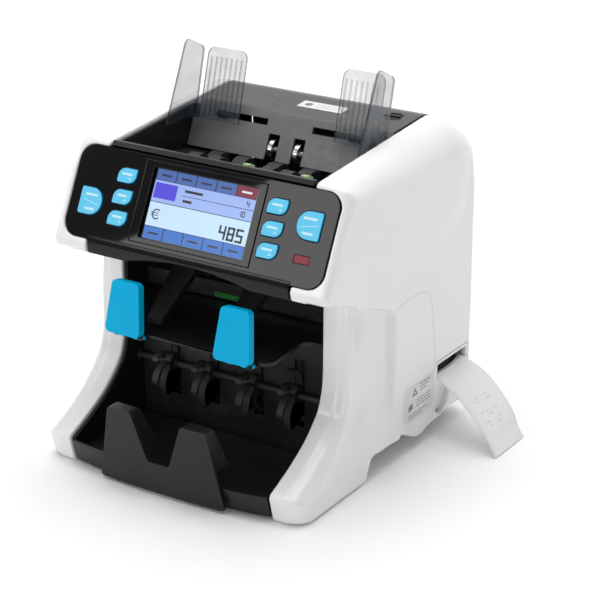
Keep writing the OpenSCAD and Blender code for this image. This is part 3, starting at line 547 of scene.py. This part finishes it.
def box_distance(x, y, z, lo, hi):
    q = [np.abs(p - (a + b) / 2) - (b - a) / 2 for p, a, b in zip((x, y, z), lo, hi)]
    outside = np.sqrt(sum(np.maximum(d, 0) ** 2 for d in q))
    return outside + np.minimum(np.maximum(np.maximum(q[0], q[1]), q[2]), 0)


PRINTER_OUTLINE = round_rect(58.0, 61.5, [1.5, 6.5, 1.0, 1.0], 6, (100.5, 35.75))
RECESS = smooth_line([(72.6, 53), (72.9, 37), (74, 27), (77.5, 20), (83, 17.2), (91, 20), (97.5, 27),
                      (100.5, 36), (101.5, 53)], 6)


def cover_solid(x, y, z):
    outside = cover_outside(x, y, z)
    shell = round_and(outside, -(outside + WALL), 0.5)
    shell = round_and(shell, INNER_X - x, 0.6)
    return round_and(shell, -panel_box(x, y, z, 0.0), 1.6)


def cover_right(x, y, z):
    hole = polygon_distance(y, z, PRINTER_OUTLINE) - 0.35
    return round_and(cover_solid(x, y, z), -hole, 0.3)


def printer_face(x, y, z):
    outside = cover_outside(x, y, z)
    skin = np.maximum(outside, -(outside + WALL))
    part = round_and(skin, polygon_distance(y, z, PRINTER_OUTLINE), 0.4)
    slot = box_distance(x, y, z, (90.0, 78.0, 55.0), (140.0, 126.0, 62.8))
    part = round_and(part, -(slot - 1.0), 0.4)
    # the finger recess, deepest at its lower rear side
    depth = 0.8 + 3.4 * ramp((54 - z) + 0.5 * (y - 72), 4, 38)
    recess = np.maximum(polygon_distance(y, z, RECESS), -(outside + depth))
    return round_and(part, -recess, 0.7)


def make_cover(name, node, field, mirror):
    step = 1.3
    verts, quads = surface_net(field, (95.3, -137.2, -1.9), (134.3, 141.5, 275.0), step)
    if mirror:
        verts[:, 0] *= -1
        quads = quads[:, ::-1]
    mesh = from_arrays(name, verts * MM, quads)
    obj = new_object(name, mesh, WHITE, BODY_OF[node])
    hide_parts(node)
    return obj


make_cover("cover_right", "side_cover_right", cover_right, False)
make_cover("cover_left", "side_cover_left", cover_solid, True)


def make_printer_face():
    step = 0.8
    verts, quads = surface_net(printer_face, (112.3, 68.2, 8.4), (134.3, 133.0, 69.8), step)
    mesh = from_arrays("printer_face", verts * MM, quads)
    obj = new_object("printer_face", mesh, WHITE, BODY_OF["printer_front"])
    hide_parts("printer_front")


make_printer_face()

# ---------------------------------------------------------------- plates with rounded edges (mm)


def inset(loop, d):
    """The loop moved d towards the side on its left."""
    p = np.array(loop, float)
    before, after = np.roll(p, 1, 0), np.roll(p, -1, 0)
    e1 = (p - before) / np.maximum(np.linalg.norm(p - before, axis=1), 1e-9)[:, None]
    e2 = (after - p) / np.maximum(np.linalg.norm(after - p, axis=1), 1e-9)[:, None]
    n1, n2 = np.stack([-e1[:, 1], e1[:, 0]], 1), np.stack([-e2[:, 1], e2[:, 0]], 1)
    mid = n1 + n2
    mid /= np.maximum(np.linalg.norm(mid, axis=1), 1e-9)[:, None]
    return p + mid * (d / np.maximum((mid * n1).sum(1), 0.5))[:, None]


class Plates:
    """Collects prisms with rounded top edges into one mesh.

    The place map turns a prism's own (u, v, w) in mm into the frame's x, y and z.
    """

    def __init__(self, place):
        self.place = place
        self.verts, self.faces, self.materials, self.smooth = [], [], [], []

    def add(self, loops, w0, w1, bevel=0.0, material=0, side_material=None, segments=4, place=None):
        place = place or self.place
        side_material = material if side_material is None else side_material
        loops = [list(loops[0])] + [list(reversed(h)) for h in loops[1:]]
        rings = []
        if bevel > 0:
            for k in range(segments + 1):
                t = math.pi / 2 * k / segments
                rings.append((bevel * (1 - math.sin(t)), w1 - bevel * (1 - math.cos(t))))
        else:
            rings.append((0.0, w1))
        rings.append((0.0, w0))
        starts = []
        for d, w in rings:
            row = []
            for loop in loops:
                row.append(len(self.verts))
                for u, v in inset(loop, d):
                    self.verts.append(place(u, v, w))
            starts.append(row)
        for li, loop in enumerate(loops):
            n = len(loop)
            for k in range(len(rings) - 1):
                a, b = starts[k][li], starts[k + 1][li]
                for i in range(n):
                    j = (i + 1) % n
                    self.faces.append((a + i, b + i, b + j, a + j))
                    self.materials.append(material if k < 1 else side_material)
                    self.smooth.append(k < len(rings) - 2 or n > 12)
        for ring, up in ((0, True), (len(rings) - 1, False)):
            flat = [inset(loop, rings[ring][0]) for loop in loops]
            order = [starts[ring][li] + i for li, loop in enumerate(loops) for i in range(len(loop))]
            points = np.concatenate(flat)
            for a, b, c in tessellate_polygon([[Vector((u, v, 0)) for u, v in loop] for loop in flat]):
                pa, pb, pc = points[a], points[b], points[c]
                area = (pb[0] - pa[0]) * (pc[1] - pa[1]) - (pb[1] - pa[1]) * (pc[0] - pa[0])
                if abs(area) < 1e-9:
                    continue
                tri = (order[a], order[b], order[c])
                self.faces.append(tri if (area > 0) == up else tri[::-1])
                self.materials.append(material)
                self.smooth.append(False)

    def build(self, name, materials, body, replaces=()):
        mesh = from_arrays(name, np.array([list(v) for v in self.verts]) * MM, self.faces)
        obj = new_object(name, mesh, materials, None, smooth=False)
        mesh.polygons.foreach_set("material_index", self.materials)
        mesh.polygons.foreach_set("use_smooth", self.smooth)
        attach(obj, body)
        if replaces:
            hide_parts(*replaces)
        return obj


TILT = math.radians(PANEL_TILT)


def on_panel(u, v, w):
    return Vector((u, PANEL_AT[0] + v * math.sin(TILT) - w * math.cos(TILT),
                   PANEL_AT[1] + v * math.cos(TILT) + w * math.sin(TILT)))


def rect(u0, v0, u1, v1):
    return [(u0, v0), (u1, v0), (u1, v1), (u0, v1)]


# ---------------------------------------------------------------- control panel

LEAF_RADII, LEAF_SIZE = (1.5, 7.0, 1.5, 7.0), (18.2, 12.4)
KEY_AT = {"left_key_1": (-73, 56), "left_key_2": (-73, 38.5), "left_key_3": (-73, 21),
          "right_key_1": (70, 56.8), "right_key_2": (70, 39), "right_key_3": (70, 21.8),
          "start_stop_button": (101, 47.5), "back_button": (-102, 30)}


def key_outline(key, grow=0.0):
    if "key" in key:
        width, height = (side + 2 * grow for side in LEAF_SIZE)
        return round_rect(width, height, [r + grow for r in LEAF_RADII], at=KEY_AT[key])
    radii = [2 + grow, 10.8 + grow, 10.8 + grow, 2 + grow]
    if key == "back_button":
        radii = [radii[1], radii[0], radii[3], radii[2]]
    return round_rect(22 + 2 * grow, 22.5 + 2 * grow, radii, n=14, at=KEY_AT[key])


def make_fascia():
    outline = round_rect(246.4, 76, [13.5] * 4, 14, (0, 38))
    notch = [(-96.2, 0), (-96.2, 2.7), (96.2, 2.7), (96.2, 0)]
    outline = outline[:45] + notch + outline[45:]
    window = rect(-58, 6, 57.2, 72)
    lcd = rect(-47.2, 10.5, 48.8, 67.5)
    holes = [window] + [key_outline(k, 0.3) for k in BUTTONS] + [rect(94, 17.8, 108, 24.2)]
    plates = Plates(on_panel)
    plates.add([outline] + holes, -3, 0, 0.45)
    plates.add([rect(-57.7, 6.3, 56, 71.7), rect(-50.4, 10.2, 49.1, 67.8)], -3, -0.6, 0.25)
    plates.add([rect(-50.3, 10.3, 49.0, 67.7), lcd], -3, -1.3, 0.1)
    plates.build("fascia", [GLOSS_BLACK], BODY_OF["panel_fascia"], ["panel_fascia"])


def make_keys():
    for key in BUTTONS:
        plates = Plates(on_panel)
        outline = key_outline(key)
        # below the first step of its rounding, the key's edge and sides take the darker blue: painted shade
        plates.add([outline], -5, 1.3, 0.7, 0, 1, 5)
        u, v = KEY_AT[key]
        top, bottom = 1.3, 1.35
        if "key" in key:
            plates.add([rect(u - 5, v + 0.2, u + 4.5, v + 2.0)], top - 0.05, bottom, 0, 2)
            arrow = [(u + 2.0, v - 3.2), (u + 4.8, v - 3.2), (u + 3.4, v - 1.4)]
            plates.add([arrow], top - 0.05, bottom, 0, 2)
        else:
            sign = 1 if key == "start_stop_button" else -1
            plates.add([rect(u - 6, v + 4.2, u + 6, v + 6.2)], top - 0.05, bottom, 0, 2)
            plates.add([rect(u - 4.5, v - 7.4, u + 5, v - 5.4)], top - 0.05, bottom, 0, 2)
            slant = [(u - 7, v - 1.0 - sign * 1.6), (u + 8, v - 1.0 + sign * 1.6),
                     (u + 8, v - 0.5 + sign * 1.6), (u - 7, v - 0.5 - sign * 1.6)]
            plates.add([slant], top - 0.05, bottom, 0, 2)
        materials = [KEY_BLUE, KEY_SIDE_SHADE, KEY_MARK]
        plates.build(key + "_shape", materials, BODY_OF[key], [key])


LCD_U, LCD_V, LCD_W, LCD_H = -46.9, 10.8, 95.4, 56.4
SEGMENTS = {"0": "abcdef", "1": "bc", "4": "fgbc", "5": "afgcd", "8": "abcdefg"}


def digit_bars(char, u, v, w, h, t):
    """A generic seven-bar number."""
    half = h / 2
    bars = {"a": (0, h - t, w, h), "g": (0, half - t / 2, w, half + t / 2), "d": (0, 0, w, t),
            "f": (0, half, t, h), "e": (0, 0, t, half), "b": (w - t, half, w, h), "c": (w - t, 0, w, half)}
    return [rect(u + a, v + b, u + c, v + d) for a, b, c, d in (bars[s] for s in SEGMENTS[char])]


def make_screen():
    mats = [lit("lcd_white", (0.55, 0.76, 1.0), 1.0), lit("lcd_lilac", (0.34, 0.48, 0.92), 0.95),
            lit("lcd_slate", (0.05, 0.13, 0.43), 0.9), lit("lcd_blue", (0.02, 0.16, 0.60), 0.9),
            lit("lcd_red", (0.22, 0.0, 0.03), 0.8), lit("lcd_indigo", (0.07, 0.05, 0.74), 0.9),
            lit("lcd_ink", (0.004, 0.008, 0.03), 0.5), lit("lcd_pale", (0.85, 0.85, 0.95), 0.9)]
    white, lilac, slate, blue, red, indigo, ink, pale = range(8)
    plates = Plates(on_panel)
    base = -1.4

    def block(x0, y0, x1, y1, material, layer=1):
        """x and y run from 0 to 1 over the screen, y downwards."""
        low_left = (LCD_U + x0 * LCD_W, LCD_V + (1 - y1) * LCD_H)
        top_right = (LCD_U + x1 * LCD_W, LCD_V + (1 - y0) * LCD_H)
        plates.add([rect(*low_left, *top_right)], base - 0.05, base + 0.04 * layer, 0, material)

    plates.add([rect(LCD_U, LCD_V, LCD_U + LCD_W, LCD_V + LCD_H)], -4.6, base, 0, white)
    block(0, 0, 1, 0.165, ink, 0.5)
    block(0, 0.165, 1, 0.47, lilac, 1)
    block(0, 0.815, 1, 1, ink, 0.5)
    for i in range(5):
        block(i * 0.2 + 0.004, 0.004, i * 0.2 + 0.194, 0.158, red if i == 4 else slate, 2)
        block(i * 0.2 + 0.004, 0.825, i * 0.2 + 0.194, 0.996, blue, 2)
        block(i * 0.2 + 0.05, 0.07, i * 0.2 + 0.15, 0.098, pale if i == 4 else ink, 3)
        if i != 1:
            block(i * 0.2 + 0.05, 0.90, i * 0.2 + 0.15, 0.928, ink, 3)
    block(0.012, 0.195, 0.235, 0.415, indigo, 2)
    block(0.31, 0.225, 0.49, 0.262, ink, 2)
    block(0.29, 0.31, 1, 0.318, ink, 2)
    block(0.31, 0.365, 0.40, 0.402, ink, 2)
    block(0, 0.465, 1, 0.475, ink, 2)

    def number(text, right, low, height, thick):
        width = height * 0.60
        for i, char in enumerate(reversed(text)):
            u = LCD_U + right * LCD_W - width - i * width * 1.22
            for bar in digit_bars(char, u, LCD_V + (1 - low) * LCD_H, width, height, thick):
                plates.add([bar], base - 0.05, base + 0.1, 0, ink)

    number("4", 0.95, 0.28, 4.6, 0.7)
    number("10", 0.93, 0.43, 4.6, 0.7)
    number("485", 0.96, 0.79, 11.0, 1.8)
    # a plain currency mark: an open ring with two bars
    cu, cv, ring = LCD_U + 0.088 * LCD_W, LCD_V + (1 - 0.64) * LCD_H, 4.3
    outer, inner = arc(cu, cv, ring, 50, 310, 18), arc(cu, cv, ring - 1.0, 310, 50, 18)
    plates.add([outer + inner], base - 0.05, base + 0.1, 0, ink)
    for dv in (-0.9, 0.9):
        bar = rect(cu - ring - 1.2, cv + dv - 0.32, cu + 1.6, cv + dv + 0.32)
        plates.add([bar], base - 0.05, base + 0.1, 0, ink)
    node = "display_screen"
    plates.build("screen_picture", mats, BODY_OF[node], [node])


make_fascia()
make_keys()
make_screen()

# ---------------------------------------------------------------- seams, labels and print


def outer_x(y, z, sink=0.0):
    """x of the cover's outer face at (y, z), found by stepping in from outside."""
    xs = np.linspace(133, 100, 1321)
    f = cover_outside(xs, np.full(xs.shape, float(y)), np.full(xs.shape, float(z)))
    hit = np.argmax(f < 0)
    return xs[hit] - sink


def on_side(u, v, w):
    """u along +Y and v up on the right cover's face, w out of it."""
    return Vector((outer_x(u, v) + w, u, v))


def make_seam(name, points, mirror, half=0.22):
    verts, faces = [], []
    for i, (y, z) in enumerate(points):
        a = np.array(points[max(i - 1, 0)])
        b = np.array(points[min(i + 1, len(points) - 1)])
        side = np.array([-(b - a)[1], (b - a)[0]]) / max(np.linalg.norm(b - a), 1e-9) * half
        x = outer_x(y, z)
        for s, dx in ((1, 0.04), (-1, 0.04), (-1, -0.5), (1, -0.5)):
            px = x + dx
            verts.append((-px if mirror else px, y + s * side[0], z + s * side[1]))
    n = len(points)
    for i in range(n - 1):
        for k in range(4):
            quad = (4 * i + k, 4 * i + (k + 1) % 4, 4 * i + 4 + (k + 1) % 4, 4 * i + 4 + k)
            faces.append(quad if mirror else quad[::-1])
    for ring, flip in ((0, False), (4 * (n - 1), True)):
        cap = (ring + 3, ring + 2, ring + 1, ring)
        faces.append(cap if flip == mirror else cap[::-1])
    mesh = from_arrays(name, np.array(verts) * MM, faces)
    new_object(name, mesh, SEAM, BODY_OF["side_cover_right"])


make_seam("cover_seam", SEAM_LINE, False)


def make_side_label():
    plates = Plates(on_side)
    plates.add([round_rect(49, 34, [1.5] * 4, 4, (44.5, 45))], -0.6, 0.05, 0, 0)
    triangle = [(34.6, 50.6), (43.4, 50.6), (39, 57.8)]
    plates.add([triangle, [(37.2, 52.0), (40.8, 52.0), (39, 55.0)]], -0.3, 0.1, 0, 1)
    for z, y0, y1 in ((58.2, 47, 64), (55.4, 47, 62), (52.6, 47, 58), (45.4, 42, 67), (42.7, 42, 65),
                      (40.0, 42, 66), (34.6, 29, 60), (32.0, 29, 52)):
        y = y0
        while y < y1 - 1:
            width = 2.2 + (y * 7.3 + z * 3.1) % 3.4
            plates.add([rect(y, z - 0.45, min(y + width, y1), z + 0.45)], -0.3, 0.1, 0, 1)
            y += width + 0.9
    plates.add([[(28.2, 38.6), (36.4, 39.8), (34.4, 45.2), (29.6, 43.6)]], -0.3, 0.1, 0, 1)
    plates.build("side_label", [LABEL, INK], BODY_OF["side_cover_right"])


make_side_label()


def make_top_label():
    slope = (TOP_REAR[1] - TOP_FRONT[1]) / (TOP_REAR[0] - TOP_FRONT[0])

    def on_top(u, v, w):
        return Vector((u, v, TOP_FRONT[1] + (v - TOP_FRONT[0]) * slope + w - 0.02))

    plates = Plates(on_top)
    plates.add([round_rect(43, 14, [1] * 4, 4, (12.5, 79))], -0.2, 0.1, 0, 0)
    plates.add([round_rect(7, 7, [3.5] * 4, 6, (-1, 79))], 0, 0.14, 0, 1)
    for v in (76, 79, 82):
        plates.add([rect(7, v - 0.3, 29, v + 0.3)], 0, 0.14, 0, 2)
    plates.build("top_label", [LABEL, INK, SEAM], BODY_OF["top_cover"])


make_top_label()

# ---------------------------------------------------------------- receipt and sensor board

# the receipt's two long edges, from the slot to the table
RECEIPT_FRONT = [(127, 77.9, 51.0), (131.5, 76.9, 49.6), (143.2, 73.8, 44.3), (153.3, 71.2, 39.6),
                 (167.7, 67.5, 29.4), (179.3, 64.5, 19.1), (186.3, 62.7, 10.8), (194.2, 60.8, 0.9)]
RECEIPT_REAR = [(123.5, 124.0, 56.0), (129, 123.9, 55.0), (147, 120.8, 49.8), (161.3, 117.9, 41.6),
                (174.5, 115.2, 30.4), (183.6, 113.3, 19.8), (188.3, 112.4, 9.5), (194.6, 111.2, 0.9)]


def along_curve(points, t):
    """The point at t (0 to 1) of a smooth curve through 3D points."""
    s = t * (len(points) - 1)
    i = min(int(s), len(points) - 2)
    f = s - i
    p = [np.array(points[min(max(i + k, 0), len(points) - 1)], float) for k in (-1, 0, 1, 2)]
    return 0.5 * (2 * p[1] + (p[2] - p[0]) * f + (2 * p[0] - 5 * p[1] + 4 * p[2] - p[3]) * f * f
                  + (3 * p[1] - p[0] - 3 * p[2] + p[3]) * f ** 3)


def on_receipt(u, v, w):
    """u from 0 (front edge) to 1, v from 0 (slot) to 1 (free end), w in mm out of the printed face."""
    v = min(max(v, 0.0), 1.0)

    def point(a, b):
        return (1 - a) * along_curve(RECEIPT_FRONT, b) + a * along_curve(RECEIPT_REAR, b)

    across = point(1, v) - point(0, v)
    length = point(u, min(v + 0.01, 1)) - point(u, max(v - 0.01, 0))
    normal = np.cross(length, across)
    normal /= np.linalg.norm(normal)
    return Vector(point(u, v) + normal * w)


def make_receipt():
    nu, nv = 8, 60
    verts, faces = [], []
    for w in (0.12, -0.12):
        for j in range(nv + 1):
            for i in range(nu + 1):
                verts.append(on_receipt(i / nu, j / nv, w))
    row, layer = nu + 1, (nu + 1) * (nv + 1)
    for j in range(nv):
        for i in range(nu):
            a = j * row + i
            faces.append((a, a + row, a + row + 1, a + 1))
            faces.append((a + layer, a + layer + 1, a + layer + row + 1, a + layer + row))
    rim = ([j * row for j in range(nv + 1)] + [nv * row + i for i in range(1, nu + 1)]
           + [j * row + nu for j in range(nv - 1, -1, -1)] + [i for i in range(nu - 1, 0, -1)])
    for k, a in enumerate(rim):
        b = rim[(k + 1) % len(rim)]
        faces.append((b, a, a + layer, b + layer))
    mesh = from_arrays("receipt", np.array([list(v) for v in verts]) * MM, faces)
    obj = new_object("receipt", mesh, PAPER, BODY_OF["paper_strip"])
    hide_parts("paper_strip")
    marks = Plates(on_receipt)
    for v, spans in ((0.47, ((0.30, 0.42), (0.58, 0.66))), (0.50, ((0.30, 0.36), (0.58, 0.70))),
                     (0.58, ((0.22, 0.30), (0.40, 0.46), (0.60, 0.72))), (0.61, ((0.40, 0.52),)),
                     (0.66, ((0.22, 0.34), (0.60, 0.66))), (0.70, ((0.30, 0.38), (0.50, 0.60)))):
        for u0, u1 in spans:
            marks.add([[(u0, v + 0.006), (u0, v), (u1, v), (u1, v + 0.006)]], 0.1, 0.16, 0, 0)
    marks.build("receipt_print", [PRINT], BODY_OF["paper_strip"])


make_receipt()


def make_board():
    plates = Plates(lambda u, v, w: Vector((u, -24.4 - w, v)))
    plates.add([rect(-27.5, 127.3, -1.1, 131.3)], -0.1, 0.25, 0.1, 0)
    for x in (-24, -18.5, -12, -6):
        plates.add([rect(x - 1.2, 128.4, x + 1.2, 130.2)], 0.2, 0.55, 0.1, 1)
    plates.build("sensor_board", [SENSOR_GREEN, BOARD], BODY_OF["pocket_walls"])


make_board()

# ---------------------------------------------------------------- CAD nodes with rounded edges

for node, width in {
    "side_frame_left": 0.3, "side_frame_right": 0.3, "base_pan": 0.6, "feet": 0.8, "top_cover": 0.5,
    "rear_door": 0.5, "rear_panel": 0.4, "hopper_tray": 0.5, "hopper_back_plate": 0.5,
    "head_lower_cover": 0.5,
    "guide_left": 0.4, "guide_right": 0.4, "gap_knob": 0.4, "pickup_rollers": 0.4, "pickup_gears": 0.25,
    "retard_rollers": 0.4, "feed_rollers": 0.4, "stacker_wheels": 0.3, "reject_shelf": 0.7,
    "reject_stop_left": 2.0, "reject_stop_right": 2.0, "hold_down_arm_left": 0.9, "hold_down_arm_right": 0.9,
    "pocket_walls": 0.3,
    "stacker_tray": 1.1, "printer_tray": 0.4, "paper_roll": 0.4, "power_switch": 0.5,
    "power_supply": 0.5, "drive_motor": 0.6, "exit_rollers": 0.4, "indicator_window": 0.3, "diverter": 0.3,
    "sensor_bars": 0.8, "motor_pulley": 0.3, "drive_belts": 0.2,
}.items():
    refine(node, width)
refine("front_stop", 1.0, flat=0.1)


def darken_guide_rims():
    """The narrow rims of the clear guides look dark."""
    lean = math.radians(15.4)
    for name in ("guide_left_shape", "guide_right_shape"):
        mesh = bpy.data.objects[name].data
        mesh.materials.append(SMOKE_EDGE)
        for face in mesh.polygons:
            centre, normal = face.center, face.normal
            on_side_plate = abs(centre.x) > 0.089
            main = abs(normal.x)
            if not on_side_plate:
                main = abs(normal.y * math.cos(lean) - normal.z * math.sin(lean))
            if main < 0.8 and centre.z > 0.2555:
                face.material_index = 1


darken_guide_rims()

shown_cad = [n for n, o in frame["nodes"].items() if not o.hide_render]
for node in shown_cad:
    mesh_object = frame["nodes"][node]
    mesh_object.data.materials.clear()
    mesh_object.data.materials.append(NODE_MATERIAL[node])

# ---------------------------------------------------------------- floor and light


def make_stage():
    n = Nodes("floor")
    away = n.add("ShaderNodeVectorMath", operation="LENGTH")
    n.put(away.inputs[0], n.coords)
    glow = n.mapped(away.outputs["Value"], 0.03, 0.45, 0.3, 2.0)
    paint = n.mix(n.mapped(n.noise(3, 2), 0, 1), (0.90, 0.90, 0.90), (0.92, 0.92, 0.92))
    n.set(Base_Color=paint, Roughness=0.75, Emission_Color=(1.0, 1.0, 1.0), Emission_Strength=glow)
    bm = bmesh.new()
    profile = [(-6.0, 0.0), (-1.0, 0.0)] + arc(1.5, 1.2, 1.2, -90, 0, 16) + [(2.7, 6.0)]
    rows = [[bm.verts.new((x, y, z)) for y, z in profile] for x in (-6.0, 6.0)]
    for i in range(len(profile) - 1):
        bm.faces.new((rows[0][i], rows[1][i], rows[1][i + 1], rows[0][i + 1]))
    mesh = bpy.data.meshes.new("floor")
    bm.to_mesh(mesh)
    bm.free()
    floor = new_object("floor", mesh, n.mat, None)


def area_light(name, at, target, size, power, size_y=None, colour=(1, 1, 1)):
    data = bpy.data.lights.new(name, "AREA")
    data.energy = power
    data.color = colour
    data.shape = "RECTANGLE"
    data.size, data.size_y = size, size_y or size
    obj = bpy.data.objects.new(name, data)
    obj.location = at
    obj.rotation_euler = (Vector(target) - Vector(at)).to_track_quat("-Z", "Y").to_euler()
    bpy.context.scene.collection.objects.link(obj)
    return obj


def reflection_card():
    """A bright card that only reflections see: the fascia's right part mirrors it, up to a slanted edge."""
    camera = bpy.context.scene.camera.location
    normal = Vector((0, -math.cos(TILT), math.sin(TILT)))
    reach = 0.75

    def mirrored(u, v):
        point = on_panel(u, v, 0) * MM
        d = (point - camera).normalized()
        return point + (d - 2 * d.dot(normal) * normal) * reach

    corners = [mirrored(-78, -4), mirrored(62, 78), mirrored(190, 78), mirrored(190, -60), mirrored(-78, -60)]
    mesh = bpy.data.meshes.new("card")
    mesh.from_pydata([tuple(c) for c in corners], [], [(0, 1, 2, 3, 4)])
    n = Nodes("card")
    n.set(Base_Color=(0, 0, 0), Emission_Color=(1, 1, 1), Emission_Strength=n.mapped(n.noise(2, 1), 3.5, 3.7))
    card = new_object("card", mesh, n.mat, None)
    for part in ("camera", "diffuse", "shadow", "transmission", "volume_scatter"):
        setattr(card, "visible_" + part, False)


make_stage()
reflection_card()
area_light("top_light", (-0.12, 0.16, 1.7), (0, 0, 0.1), 1.6, 25)
area_light("left_light", (-1.6, -0.9, 1.1), (0, 0, 0.15), 1.2, 7)
area_light("front_light", (0.35, -2.2, 0.6), (0, 0, 0.12), 1.2, 9)
world = bpy.data.worlds.new("world")
world.use_nodes = True
world.node_tree.nodes["Background"].inputs["Color"].default_value = (1, 1, 1, 1)
world.node_tree.nodes["Background"].inputs["Strength"].default_value = 0.28
bpy.context.scene.world = world
bpy.context.scene.view_settings.view_transform = "Standard"
